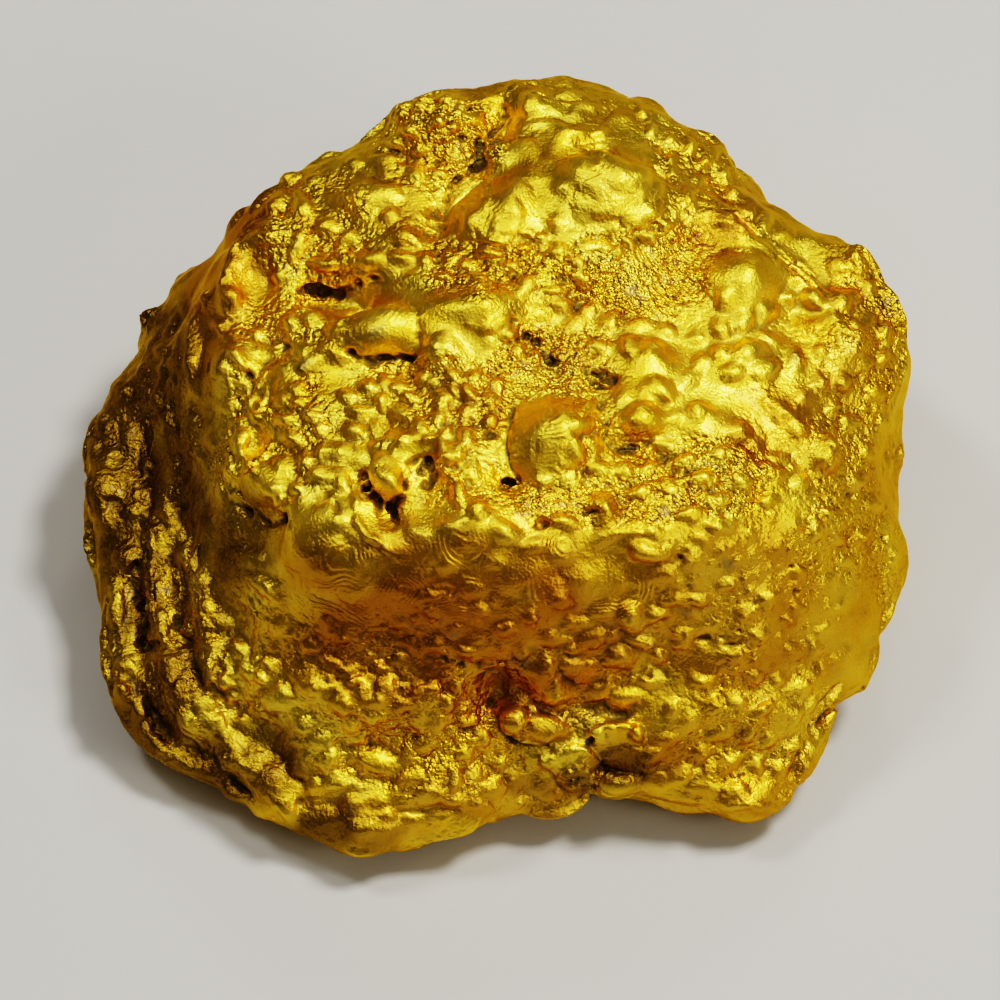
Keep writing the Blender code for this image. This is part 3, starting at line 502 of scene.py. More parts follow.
# ---------------------------------------------------------------------------
# Beads and blisters. Drops of metal froze one against another on the proud
# ground; each row is x, y, half width, half height and, where it has one, turn.
BEADS = {
    "left shoulder": (
        (270, 205, 13, 8, 30), (330, 158, 9, 6, 20), (310, 183, 9, 6, 30), (355, 165, 9, 6, 10),
        (385, 165, 15, 9), (385, 195, 13, 9), (415, 170, 11, 9), (245, 262, 5, 14, -10),
        (300, 205, 10, 8, 30), (335, 200, 9, 8), (322, 225, 11, 9, 20), (345, 240, 12, 8, 20),
        (298, 245, 10, 12), (280, 275, 9, 8), (325, 262, 12, 8, 10), (372, 262, 10, 8),
        (395, 215, 9, 7), (400, 262, 12, 7), (425, 262, 9, 7), (290, 180, 8, 6, 30),
    ),
    "left lobe": (
        (400, 112, 9, 7, 20), (421, 104, 8, 6, 10), (446, 100, 9, 6), (462, 108, 7, 6),
        (410, 130, 8, 6), (395, 143, 8, 6, 20), (437, 122, 8, 6), (455, 128, 7, 5), (475, 118, 8, 7),
        (480, 137, 7, 6), (420, 150, 8, 6), (448, 152, 6, 5), (492, 100, 8, 5, -10), (463, 160, 6, 5),
        (402, 165, 7, 5), (440, 176, 6, 5),
    ),
    "under the crease": (
        (452, 258, 10, 7), (470, 268, 9, 6), (490, 256, 9, 7), (508, 268, 8, 6), (478, 282, 8, 5),
        (522, 252, 8, 6), (445, 275, 8, 5), (500, 240, 9, 7),
    ),
    "dome": (
        (548, 124, 18, 6, -10), (585, 112, 14, 5, 10), (618, 120, 12, 5, 20), (530, 104, 10, 7),
        (572, 96, 12, 5), (604, 132, 10, 5, 20), (560, 252, 8, 6), (578, 262, 7, 6), (612, 256, 8, 6),
        (630, 246, 8, 6, -20), (648, 236, 8, 6, -30), (664, 226, 8, 6, -30), (540, 240, 8, 6),
        (526, 232, 7, 6), (556, 226, 7, 7), (634, 222, 9, 6, -20),
    ),
    "dome's mottling": (
        (520, 182, 9, 12, 10), (512, 205, 9, 12, 10), (506, 226, 10, 9), (538, 176, 6, 14, 35),
        (530, 198, 6, 8, 30), (548, 210, 6, 12, 20), (562, 222, 6, 12, 10), (575, 165, 14, 8),
        (558, 186, 7, 8), (597, 190, 10, 7, -10), (645, 190, 6, 8), (652, 208, 12, 7, 20),
        (634, 212, 10, 7, -10), (580, 212, 8, 9), (612, 228, 10, 7), (600, 246, 8, 6),
        (482, 196, 9, 10, -20), (468, 214, 9, 9, -20), (490, 236, 9, 8), (530, 218, 7, 7),
        (586, 246, 9, 6), (570, 240, 7, 7), (616, 168, 9, 6), (640, 174, 8, 6, 10), (600, 160, 9, 6),
        (552, 152, 12, 7), (524, 150, 10, 7, -10), (660, 190, 8, 7, 20),
    ),
    "lip": (
        (330, 548, 14, 9, 20), (356, 538, 12, 8, 30), (372, 558, 12, 8), (402, 552, 12, 9, -20),
        (418, 574, 13, 8), (448, 566, 12, 9, 20), (470, 546, 12, 8), (492, 562, 12, 9, -10),
        (510, 582, 13, 8), (535, 574, 12, 8), (556, 590, 13, 8), (470, 590, 14, 8), (430, 596, 13, 8),
        (390, 590, 14, 8), (350, 594, 14, 8), (316, 578, 12, 8, 20), (340, 522, 10, 8, 30),
        (420, 532, 12, 7), (448, 526, 10, 7), (560, 556, 12, 8),
    ),
    "crown": (
        (815, 297, 10, 9), (770, 312, 9, 8), (748, 352, 13, 10), (765, 372, 11, 9), (735, 375, 12, 9),
        (718, 352, 11, 9), (720, 300, 10, 10), (722, 325, 11, 9), (745, 318, 11, 8), (790, 300, 8, 8),
        (625, 395, 10, 9), (700, 412, 12, 9), (672, 415, 10, 8), (628, 346, 10, 8), (640, 325, 11, 8),
        (668, 330, 11, 8), (695, 338, 10, 8), (700, 362, 9, 8),
    ),
    "right rim": (
        (855, 250, 11, 7, 30), (848, 295, 9, 8), (886, 335, 7, 15), (845, 380, 8, 8), (878, 395, 8, 7),
        (862, 320, 8, 9), (870, 285, 8, 8), (838, 268, 9, 7, 30), (824, 456, 11, 17), (829, 513, 7, 6),
        (862, 531, 7, 6), (841, 537, 6, 6), (896, 553, 5, 8), (880, 360, 8, 8), (866, 365, 7, 7),
        (886, 425, 7, 9), (868, 455, 8, 9), (888, 470, 6, 10), (850, 425, 7, 7), (855, 480, 8, 8),
        (876, 505, 7, 9), (800, 430, 9, 7), (780, 455, 9, 7), (820, 350, 8, 8), (818, 380, 8, 8),
        (835, 410, 7, 8), (800, 480, 9, 7), (770, 500, 9, 7),
    ),
    "back rim": (
        (672, 140, 7, 6, 30), (690, 148, 7, 6, 30), (705, 160, 8, 6, 40), (718, 150, 7, 5, 40),
        (722, 175, 8, 6, 40), (738, 190, 8, 6, 45), (700, 182, 8, 7, 40), (748, 210, 8, 6, 45),
        (764, 222, 8, 6, 40), (785, 236, 9, 6, 30), (730, 212, 8, 6, 40), (655, 130, 7, 6, 30),
        (640, 115, 6, 5), (650, 122, 5, 4), (676, 165, 7, 6, 30), (690, 200, 8, 6, 40),
    ),
    "terrace": (
        (236, 358, 7, 6), (219, 372, 7, 6), (238, 388, 7, 6), (225, 408, 7, 6), (214, 400, 5, 6),
        (240, 367, 5, 5), (220, 325, 9, 8), (237, 300, 8, 8), (260, 335, 9, 7), (299, 388, 8, 7),
        (302, 402, 8, 7), (312, 415, 8, 7), (320, 430, 8, 7), (273, 490, 10, 8), (281, 500, 7, 6),
        (233, 488, 5, 7), (305, 460, 11, 9), (320, 476, 9, 8), (322, 453, 9, 7), (285, 420, 9, 8),
        (268, 405, 8, 9), (255, 418, 8, 8), (290, 440, 9, 8), (283, 465, 9, 8), (310, 365, 10, 7),
        (285, 400, 8, 7), (262, 352, 6, 5), (276, 350, 6, 5), (238, 440, 8, 10), (232, 465, 7, 10),
        (250, 470, 7, 7), (300, 487, 8, 6), (290, 325, 12, 9), (315, 318, 12, 8), (335, 330, 9, 7),
        (300, 345, 12, 7),
    ),
    "middle": (
        (365, 385, 10, 8), (385, 381, 9, 7), (400, 388, 8, 8), (412, 398, 8, 7), (440, 400, 8, 7),
        (452, 392, 7, 7), (455, 378, 7, 6), (470, 393, 9, 8), (468, 413, 8, 8), (478, 377, 9, 7),
        (440, 414, 8, 7), (448, 432, 8, 7), (420, 375, 9, 7), (382, 405, 9, 9), (362, 412, 10, 9),
        (375, 430, 9, 8), (352, 432, 9, 8), (348, 398, 9, 8), (400, 415, 10, 8), (418, 423, 9, 7),
        (490, 400, 9, 8), (488, 425, 8, 9), (500, 385, 8, 8), (430, 382, 8, 6), (340, 455, 10, 9),
        (338, 480, 9, 10), (355, 460, 8, 10), (466, 440, 8, 9), (575, 322, 17, 8, 26), (520, 350, 8, 7),
        (538, 358, 7, 6), (510, 335, 8, 6), (560, 305, 10, 8), (590, 310, 10, 8), (615, 320, 9, 8),
        (600, 345, 9, 8), (540, 310, 9, 7), (555, 290, 9, 7), (580, 275, 9, 7), (530, 285, 9, 7),
        (470, 322, 6, 5), (503, 318, 8, 6),
    ),
    "round the boss": (
        (590, 408, 9, 9), (584, 430, 9, 9), (596, 446, 8, 8), (578, 452, 9, 8), (606, 510, 14, 17),
        (505, 530, 15, 9, -20), (532, 545, 14, 8, -20), (563, 524, 15, 7, -15), (480, 510, 10, 8),
        (570, 480, 12, 9), (600, 470, 11, 9), (625, 470, 11, 9), (650, 470, 12, 8), (680, 460, 12, 9),
        (640, 495, 12, 8), (670, 490, 12, 8), (700, 480, 12, 8), (660, 445, 11, 7), (720, 455, 12, 9),
        (735, 430, 12, 9), (455, 455, 10, 10), (472, 470, 9, 10), (460, 495, 9, 12, 30),
        (545, 480, 10, 8), (715, 500, 12, 8), (740, 480, 11, 8), (690, 515, 12, 7), (725, 525, 11, 8),
    ),
    "left flank": (
        (160, 350, 6, 9), (152, 362, 5, 8), (157, 400, 6, 10), (147, 395, 5, 9), (165, 420, 7, 10),
        (190, 425, 7, 10), (200, 460, 6, 14), (181, 445, 6, 10), (198, 510, 6, 12), (219, 490, 6, 9),
        (170, 330, 6, 9), (150, 490, 8, 11), (147, 465, 6, 9), (120, 385, 7, 11), (135, 350, 6, 11),
        (105, 425, 7, 10), (95, 450, 6, 10), (130, 440, 8, 14), (105, 525, 9, 8), (128, 508, 6, 6),
        (143, 512, 6, 8), (176, 385, 6, 10), (188, 360, 6, 10), (172, 475, 7, 12), (166, 512, 7, 12),
        (184, 535, 7, 10), (212, 440, 7, 11), (125, 475, 7, 9), (112, 455, 8, 10), (195, 395, 6, 10),
        (182, 310, 6, 8), (205, 530, 7, 9),
    ),
    "lower left": (
        (115, 600, 9, 24), (130, 640, 8, 17), (125, 662, 8, 9), (158, 560, 8, 12), (158, 590, 8, 12),
        (160, 620, 8, 12), (188, 560, 8, 12), (196, 585, 8, 12), (205, 610, 8, 10), (120, 690, 8, 12),
        (140, 720, 10, 19), (185, 725, 10, 13), (170, 665, 9, 13), (180, 692, 9, 12), (205, 703, 9, 9),
        (218, 725, 10, 12, 20), (232, 745, 10, 11, 20), (255, 755, 11, 10, 20), (272, 776, 11, 9, 20),
        (290, 800, 12, 10, 20), (160, 745, 12, 9, -20), (200, 768, 14, 8, -20), (235, 795, 14, 8, -20),
        (262, 812, 12, 7), (250, 560, 22, 10, -20), (262, 585, 12, 8, -30), (222, 620, 9, 7),
        (236, 648, 9, 8), (245, 600, 9, 7), (278, 625, 10, 8), (300, 632, 9, 7), (325, 628, 9, 7),
        (310, 645, 9, 7), (340, 635, 8, 7), (222, 680, 8, 8), (228, 697, 8, 7), (243, 672, 8, 7),
        (258, 678, 8, 7), (272, 665, 9, 7), (278, 700, 14, 11), (258, 715, 10, 8), (245, 725, 9, 8),
        (186, 630, 8, 10), (265, 735, 11, 8), (285, 745, 12, 9), (305, 725, 11, 9), (300, 765, 12, 9),
        (320, 745, 11, 9),
    ),
    "skirt": (
        (305, 685, 9, 7), (317, 692, 8, 7), (330, 665, 9, 7), (347, 672, 9, 7), (355, 683, 8, 6),
        (364, 695, 8, 7), (378, 702, 9, 7), (372, 718, 10, 8), (388, 690, 8, 7),
        (378, 763, 26, 12, -10), (333, 782, 13, 9), (310, 783, 10, 8), (378, 803, 9, 7),
        (388, 815, 8, 6), (345, 725, 11, 9), (340, 705, 9, 8), (355, 742, 11, 8), (330, 762, 11, 8),
        (352, 805, 14, 10), (330, 820, 13, 9), (362, 835, 15, 9), (415, 625, 8, 6), (435, 643, 8, 6),
        (475, 638, 8, 6), (400, 665, 9, 7), (385, 672, 7, 6), (450, 705, 9, 7), (440, 725, 9, 7),
        (425, 745, 10, 8), (408, 757, 9, 8), (460, 755, 9, 7), (478, 737, 8, 8), (475, 775, 10, 8),
        (495, 787, 10, 7), (430, 795, 12, 8), (450, 778, 10, 7), (410, 778, 11, 8), (455, 800, 12, 7),
        (405, 705, 9, 7), (420, 722, 9, 7), (425, 692, 9, 7), (445, 680, 8, 6), (465, 722, 8, 7),
        (460, 690, 8, 6), (520, 780, 13, 8), (520, 800, 13, 7), (540, 762, 12, 9), (548, 790, 12, 8),
        (412, 818, 15, 8), (440, 815, 14, 7), (480, 806, 13, 7), (500, 765, 9, 7),
    ),
    "middle of the face": (
        (540, 675, 17, 20), (557, 692, 14, 12), (577, 668, 14, 10), (512, 715, 14, 16, 10),
        (546, 726, 20, 12, -15), (615, 784, 22, 11), (598, 735, 8, 8), (612, 731, 7, 8),
        (626, 730, 7, 8), (640, 734, 7, 7), (600, 690, 13, 9), (625, 700, 13, 9), (620, 660, 14, 10),
        (650, 680, 13, 10), (590, 640, 13, 8), (555, 640, 12, 7), (640, 640, 12, 8), (660, 655, 10, 8),
        (633, 619, 14, 10), (600, 610, 13, 8), (675, 600, 13, 9), (700, 600, 10, 8), (649, 552, 17, 11),
        (690, 560, 12, 8), (660, 575, 12, 8), (700, 545, 10, 7), (430, 612, 9, 6), (455, 628, 9, 7),
        (480, 612, 9, 6), (505, 632, 10, 7), (530, 620, 10, 7), (522, 650, 9, 7), (470, 652, 9, 6),
        (575, 620, 10, 7), (560, 600, 11, 7), (398, 620, 9, 6), (412, 642, 8, 6), (660, 615, 10, 8),
        (682, 640, 9, 7), (610, 640, 9, 7), (575, 650, 9, 7), (690, 615, 9, 7),
    ),
    "right skirt": (
        (695, 580, 10, 8), (725, 582, 9, 7), (713, 527, 9, 7), (775, 545, 9, 7), (860, 535, 7, 7),
        (820, 532, 7, 7), (800, 575, 8, 7), (845, 562, 6, 7), (830, 582, 7, 8), (800, 610, 9, 7),
        (788, 622, 9, 7), (816, 648, 7, 7), (820, 668, 7, 8), (845, 655, 7, 9), (795, 650, 8, 7),
        (770, 600, 9, 7), (745, 610, 9, 7), (760, 635, 9, 7), (735, 660, 9, 7), (700, 680, 9, 7),
        (755, 675, 9, 7, 30), (780, 680, 9, 7, 30), (800, 690, 9, 7, 30), (715, 705, 9, 7, 30),
        (740, 700, 9, 7, 30), (765, 710, 9, 7, 30), (790, 715, 9, 7, 40), (810, 705, 8, 7, 40),
        (690, 725, 10, 7, 30), (718, 735, 10, 7, 35), (745, 735, 9, 7, 35), (770, 740, 9, 7, 40),
        (795, 745, 8, 7, 40), (700, 755, 10, 7, 30), (730, 765, 10, 7, 30), (757, 762, 9, 7, 35),
        (780, 768, 9, 7, 40), (680, 775, 11, 7), (705, 788, 12, 7), (735, 790, 12, 7, 10),
        (765, 787, 12, 8, 10), (730, 806, 14, 7), (760, 806, 14, 7), (690, 800, 11, 6),
        (650, 755, 12, 8), (655, 780, 12, 8), (665, 740, 10, 8), (670, 710, 9, 8),
    ),
}
# How far a bead stands up, in millimetres to each step of its smaller half.
BEAD_RISE = 0.044
LOW_BEADS = dict.fromkeys(("right skirt", "right rim", "skirt", "lower left", "left flank"), 0.032)
FAINT_BEADS = dict.fromkeys(("dome's mottling", "lip"), 0.020)
BEAD_SPREAD = 1.35
BEAD_FIRMNESS = 1.3
LOWEST_SHARE, SHARE_SPAN = 0.95, 0.40
proud = np.zeros(skin.size)


def side_by_side(beads, rise):
    """Heights of drops that froze against one another: low caps, creased where two meet."""
    height = np.zeros(skin.size)
    for x, y, half_width, half_height, *turn in beads:
        near, away = oval(x, y, half_width * BEAD_SPREAD, half_height * BEAD_SPREAD, *turn)
        chance = noise.cell(Vector((x, y, 0.5)))
        top = rise * min(half_width, half_height) * (LOWEST_SHARE + SHARE_SPAN * chance)
        cap = np.clip(1 - away**2, 0, None) ** BEAD_FIRMNESS * skin.seen[near]
        height[near] = np.maximum(height[near], cap * top)
        proud[near] = np.maximum(proud[near], cap)
    return height


for region, beads in BEADS.items():
    skin.raise_by(side_by_side(beads, {**LOW_BEADS, **FAINT_BEADS}.get(region, BEAD_RISE)))
skin.work_in()

# ---------------------------------------------------------------------------
# Pinholes and slits. Gas and quartz left small deep holes where drops met;
# each row is x, y, half width, half height, depth in millimetres and any turn.
HOLES = (
    (437, 164, 5, 4, 0.40), (472, 173, 7, 5, 0.50, 40), (452, 188, 7, 4, 0.45, 40),
    (434, 210, 4, 6, 0.40), (428, 232, 5, 4, 0.40), (440, 228, 4, 4, 0.35), (487, 186, 4, 4, 0.35),
    (462, 140, 4, 4, 0.30), (448, 150, 4, 3, 0.25), (374, 281, 5, 4, 0.45), (312, 291, 7, 4, 0.40),
    (326, 288, 8, 5, 0.45), (342, 292, 8, 6, 0.50), (247, 378, 5, 5, 0.40), (562, 276, 5, 4, 0.30),
    (515, 318, 4, 5, 0.30), (528, 336, 4, 4, 0.30), (552, 360, 4, 5, 0.30), (588, 370, 5, 5, 0.45),
    (600, 374, 6, 4, 0.50), (611, 382, 5, 5, 0.45), (596, 386, 5, 4, 0.35), (600, 402, 3, 8, 0.45, 20),
    (662, 400, 7, 3, 0.30), (540, 523, 7, 6, 0.60), (590, 511, 11, 3, 0.40), (362, 478, 4, 6, 0.45, 10),
    (374, 497, 3, 5, 0.45), (395, 516, 4, 12, 0.70, 30), (408, 486, 3, 6, 0.50), (428, 462, 3, 5, 0.30),
    (424, 472, 3, 3, 0.25), (508, 485, 8, 5, 0.45), (489, 438, 7, 3, 0.35), (877, 430, 4, 4, 0.35),
    (841, 413, 4, 3, 0.30), (862, 440, 3, 4, 0.30), (852, 498, 4, 4, 0.35), (887, 536, 4, 4, 0.35),
    (676, 559, 4, 4, 0.35), (795, 595, 4, 3, 0.30), (795, 571, 4, 3, 0.30), (180, 620, 6, 5, 0.45),
    (234, 488, 3, 6, 0.40), (500, 664, 6, 5, 0.30), (490, 700, 5, 6, 0.30), (460, 668, 6, 4, 0.30),
    (700, 640, 6, 3, 0.25, 20), (738, 632, 4, 4, 0.25), (724, 648, 9, 3, 0.25), (648, 676, 4, 4, 0.25),
    (322, 496, 7, 3, 0.40, 20), (330, 508, 3, 7, 0.35, 20), (112, 502, 8, 4, 0.14),
    (148, 642, 8, 5, 0.45, 20), (626, 716, 9, 4, 0.30), (588, 742, 4, 4, 0.35),
    (300, 800, 4, 8, 0.35, 10), (802, 330, 2, 7, 0.20), (690, 585, 4, 3, 0.20),
)
SPREAD = 1.3
HOLE_FIRMNESS = 1.2
for x, y, half_width, half_height, depth, *turn in HOLES:
    lump(x, y, half_width * SPREAD, half_height * SPREAD, -depth, *turn, firmness=HOLE_FIRMNESS)
skin.work_in()

# ---------------------------------------------------------------------------
# The crumb. Between the lobes the gold froze as grains and blisters packed
# side by side, with pinholes where they don't meet. Water wore it away from
# the proud forms, so each zone has its own share of it.

# Grains are size and height in millimetres. Zones are x, y, half width, half
# height, share and, where they have one, turn.
GRAINS = ((1.30, 0.14), (0.70, 0.09))
FINE_GRAINS = (0.40, 0.06)
LEAST_GRAIN, GRAIN_SPAN, GRAIN_SCATTER = 0.55, 0.45, 9.1
BETWEEN_GRAINS = 0.35
BARE_SHARE = 0.30
CRUMB_ZONES = {
    "rough patch": (532, 366, 44, 44, 1.0),
    "left lobe": (440, 140, 66, 52, 0.9),
    "band along the left shoulder": (318, 232, 66, 58, 0.7, 40),
    "under the gash": (300, 322, 66, 30, 0.8, 10),
    "terrace bubbles": (262, 430, 70, 88, 0.8),
    "middle bubbles": (430, 410, 92, 62, 0.7),
    "under the crease": (486, 262, 66, 36, 1.0, 10),
    "under the dome": (628, 272, 92, 58, 0.78, 12),
    "behind the finger": (570, 345, 48, 28, 0.7, 10),
    "round the porous hole": (584, 400, 40, 60, 0.8),
    "under the bosses": (690, 470, 90, 44, 0.9, -10),
    "right of the hollows": (590, 500, 110, 36, 0.8),
    "round the hollow": (440, 470, 82, 46, 0.5),
    "right rim": (862, 380, 52, 150, 0.6, -8),
    "right flank": (846, 560, 56, 90, 0.55),
    "back rim": (700, 165, 60, 60, 0.5, 40),
    "left flank": (140, 430, 72, 130, 0.4),
    "lower left": (190, 650, 110, 130, 0.42, 20),
    "face, left": (330, 668, 100, 44, 0.40),
    "skirt": (420, 740, 130, 62, 0.7),
    "skirt, middle": (560, 690, 80, 50, 0.5),
    "right skirt": (750, 735, 84, 76, 0.45, -40),
    "right face": (720, 600, 110, 90, 0.25),
}
# Loose drops stand up singly, also where there is no crumb.
DROP_SIZE, DROP_HEIGHT, DROP_REACH = 0.75, 0.20, 0.58
BARE_DROPS = 0.10
DROP_ZONES = {
    "face": (460, 660, 250, 70, 1.0),
    "skirt": (460, 760, 190, 50, 0.7),
    "lower edge": (480, 812, 120, 20, 0.8, -6),
    "right foot": (720, 804, 90, 16, 0.7),
    "right face": (740, 600, 120, 110, 0.9),
    "right skirt": (740, 740, 100, 70, 0.7),
    "right rim": (860, 450, 50, 180, 0.7),
    "lower left": (230, 680, 100, 90, 0.7),
    "left shoulder": (290, 210, 80, 50, 0.5, 30),
}
SMOOTH_ZONES = {
    "leaning bean": (389, 478, 22, 34, 0.95, 24),
    "terrace hollow": (255, 436, 30, 26, 0.65),
    "between the terraces": (262, 372, 20, 28, 0.7, 30),
    "arch": (412, 446, 42, 18, 0.85),
    "second terrace lobe": (270, 388, 36, 18, 0.7, 40),
    "terrace skin": (214, 400, 14, 50, 0.8),
    "terrace corner": (262, 486, 40, 20, 0.8, 12),
    "hump left of the arch": (326, 516, 34, 24, 0.7),
    "skirt's brow": (330, 690, 90, 16, 0.4, -6),
    "dome": (600, 178, 62, 46, 0.15),
    "slope by the crease": (496, 208, 38, 50, 0.15, -20),
    "finger": (420, 322, 92, 27, 0.9, -6),
    "bright lump": (752, 286, 48, 34, 0.95, 35),
    "crown ridge": (778, 262, 74, 24, 0.5, -42),
    "crown bosses": (672, 384, 58, 58, 0.7),
    "wrinkled boss": (544, 438, 34, 44, 0.7, -22),
    "front shoulder": (480, 572, 176, 60, 0.95, -3),
    "front shoulder, right": (640, 560, 110, 40, 0.6),
    "left shoulder band": (216, 262, 24, 90, 0.8, -16),
    "flange knob": (100, 490, 26, 46, 0.7),
    "nose": (368, 822, 40, 36, 0.6),
    "tan lobe": (850, 640, 40, 64, 0.7),
    "right band": (812, 386, 62, 24, 0.4, 42),
}
ZONE_EDGE, ZONE_FADE = 1.35, 0.7
WORN_BARE, WORN_CURVE = 0.75, 0.6
PAD_HEIGHT, PAD_EDGE = 0.05 * MM, 0.5 * MM
UNEVEN_SIZE, UNEVEN_HEIGHT, UNEVEN_SHARE = 1.7, 0.11, 0.40


def zone_share(zones, start=0.0):
    """How much of a texture each point takes: soft ovals laid over a starting share."""
    share = np.full(skin.size, float(start))
    for x, y, half_width, half_height, amount, *turn in zones.values():
        near, away = oval(x, y, half_width, half_height, *turn)
        edge = eased(np.clip((ZONE_EDGE - away) / ZONE_FADE, 0, 1)) * skin.seen[near]
        share[near] = np.maximum(share[near], amount * edge)
    return share


def patchy(level, sway, size, seed, least, most):
    """A share that wanders about a level, over patches of a size in millimetres."""
    return np.clip(level + sway * skin.drift(size, seed), least, most)


def grains(size, seed, reach=0.8):
    """Rounded grains, each of its own size: about 0 between them and up to 1 on top."""
    found = np.empty(skin.size)
    shift = Vector((seed * 7.31, seed * 3.17, seed * 5.73))
    scale = 1 / (size * MM)
    for index, point in enumerate(skin.points):
        gaps, cells = noise.voronoi(Vector(point) * scale + shift)
        large = LEAST_GRAIN + GRAIN_SPAN * noise.cell(cells[0] * GRAIN_SCATTER)
        found[index] = large * (1 - min(1.0, gaps[0] / (reach * large)) ** 2)
    return found


# The far side has crumb in patches. Bead tops are worn bare, and the pads that
# the nugget stands on stay flat.
crumb = zone_share(CRUMB_ZONES, BARE_SHARE)
far_side = patchy(0.45, 0.6, size=6.0, seed=3, least=0.1, most=0.9)
crumb = np.maximum(crumb, (1 - skin.seen) * far_side)
crumb *= (1 - zone_share(SMOOTH_ZONES)) * (1 - WORN_BARE * proud**WORN_CURVE)
crumb *= patchy(1.0, 0.5, size=2.2, seed=5, least=0.3, most=1.5)
pads = np.clip((skin.points[:, 2] - PAD_HEIGHT) / PAD_EDGE, 0, 1)
crumb *= pads
uneven = UNEVEN_HEIGHT * skin.drift(UNEVEN_SIZE, seed=11)
skin.raise_by(uneven * pads * (UNEVEN_SHARE + crumb))
for seed, (size, height) in enumerate(GRAINS):
    skin.raise_by(crumb * height * (grains(size, seed) - BETWEEN_GRAINS))
skin.work_in()
drops = grains(DROP_SIZE, seed=9, reach=DROP_REACH)
skin.raise_by(zone_share(DROP_ZONES, BARE_DROPS) * pads * DROP_HEIGHT * drops)
size, height = FINE_GRAINS
skin.raise_by(crumb * height * (grains(size, seed=7) - BETWEEN_GRAINS))
skin.work_in()

# ---------------------------------------------------------------------------
# The painted shade, the wrinkles and the soil. The sides that turn from the
# lamps are painted darker in amber and olive as painted shade, the thick lobes
# shrank in fine wrinkles as they froze, and the hollows are painted dark, partly
# as brown clay and partly as painted shade. Zones are as for the crumb.
AMBER_SHADE_ZONES = {
    "face": (470, 640, 180, 84, 0.95),
    "front shoulder": (440, 575, 160, 46, 0.75),
    "face, right": (740, 610, 120, 90, 0.6),
    "shoulder band, left": (226, 264, 40, 110, 0.8, -16),
    "left shoulder": (300, 200, 60, 34, 0.15, 35),
    "back rim": (700, 160, 70, 44, 0.15, 40),
    "nose": (370, 826, 60, 34, 0.5),
    "lower edge": (520, 800, 110, 26, 0.6, -6),
    "right foot": (700, 806, 110, 18, 0.5),
    "ledge": (646, 758, 60, 26, 0.7),
    "tongue": (552, 730, 26, 14, 0.5, -14),
    "right rim": (858, 420, 50, 200, 0.4),
    "right flank": (852, 610, 56, 110, 0.45),
    "right skirt": (740, 730, 110, 76, 0.4, -30),
    "smooth band": (812, 390, 66, 18, 0.5, 42),
    "front edge, right": (600, 535, 110, 36, 0.35, -4),
    "under the smooth band": (772, 430, 50, 40, 0.7),
    "middle bubbles": (478, 396, 36, 50, 0.4),
    "middle of the crown": (575, 330, 110, 40, 0.25),
    "knobs left of the crease": (420, 226, 32, 32, 0.45),
    "crown's back": (728, 222, 48, 26, 0.6, 40),
}
# Olive painted shade on the left flank and on the lower faces of lumps near the foot.
OLIVE_SHADE_ZONES = {
    "lower left": (136, 660, 74, 120, 0.95),
    "flank": (140, 440, 80, 170, 0.95),
    "flank, low": (150, 590, 92, 120, 0.7),
    "foot, left": (200, 780, 110, 50, 0.8, 20),
    "square lump's face": (578, 780, 24, 16, 0.8),
    "under the ledge": (622, 768, 34, 22, 0.7),
    "gap in the flange": (140, 620, 20, 60, 0.95),
    "left of the square lump": (528, 776, 26, 22, 0.45),
    "over the ledge": (572, 724, 26, 14, 0.45),
    "left of the nose": (326, 832, 40, 24, 0.8),
    "nose": (376, 836, 26, 24, 0.45),
    "corner of the flank": (232, 538, 42, 52, 0.85),
}
TARNISH_SPOTS = {
    "on the finger": (375, 333, 9, 7, 0.7),
    "on the terrace": (306, 364, 7, 5, 0.7),
    "on the upright knob": (792, 358, 7, 10, 0.6),
    "on the face": (728, 562, 7, 6, 0.7),
    "low on the face": (684, 618, 6, 5, 0.6),
    "in the hollow": (518, 658, 12, 5, 0.7),
    "ring's middle": (454, 632, 5, 4, 0.6),
}
WRINKLED_ZONES = {
    "front shoulder": (433, 552, 50, 40, 0.9),
    "front shoulder, left": (345, 585, 60, 36, 0.8),
    "front shoulder, low": (476, 604, 56, 26, 0.8),
    "front shoulder, right": (548, 570, 46, 36, 0.8),
    "below the fold": (620, 590, 50, 26, 0.6),
    "end of the finger": (402, 326, 16, 24, 0.7),
    "wrinkled boss": (536, 446, 30, 36, 0.8),
    "slope by the crease": (520, 206, 26, 46, 0.7, -14),
    "boss by the finger": (441, 354, 22, 16, 0.8),
    "star": (474, 494, 24, 24, 0.7),
    "back of the dome": (590, 150, 50, 24, 0.4),
}
# Soil and painted shade: gaps, undercuts and dells painted dark, partly as dirt and partly as shade.
DIRT_AND_SHADE_ZONES = {
    "hollow in the skirt": (500, 690, 18, 36, 0.3, 8),
    "under the oval boss": (528, 748, 24, 7, 0.6, 10),
    "over the ledge": (604, 712, 40, 10, 0.5),
    "beside the square lump": (604, 768, 8, 18, 0.6),
    "wavy band": (440, 660, 44, 9, 0.4, 4),
    "gash": (332, 292, 30, 10, 0.7),
    "left of the leaning bean": (374, 496, 16, 22, 0.6, 24),
    "under the arch": (426, 468, 12, 12, 0.4),
    "crease left of the dome": (470, 168, 14, 10, 0.5, 40),
    "crown crease": (540, 350, 26, 12, 0.3, -40),
    "porous hole": (598, 376, 18, 10, 0.5),
    "under the finger": (385, 359, 34, 5, 0.6, 8),
    "flange gap": (142, 616, 9, 44, 0.6),
    "terrace undercut": (250, 516, 30, 7, 0.6, 10),
    "dark dell": (716, 644, 26, 8, 0.5),
    "foot of the flange": (150, 690, 16, 30, 0.5, 30),
    "outer foot": (120, 656, 18, 44, 0.75),
}
# Soil and painted shade darken hollows of three sizes: passes of evening out,
# depth in millimetres and share of each. Under the unmarked level there is none.
HOLLOWS = ((12, 0.09, 0.95), (60, 0.55, 0.35), (240, 1.6, 0.35))
UNMARKED_LEVEL = 0.36


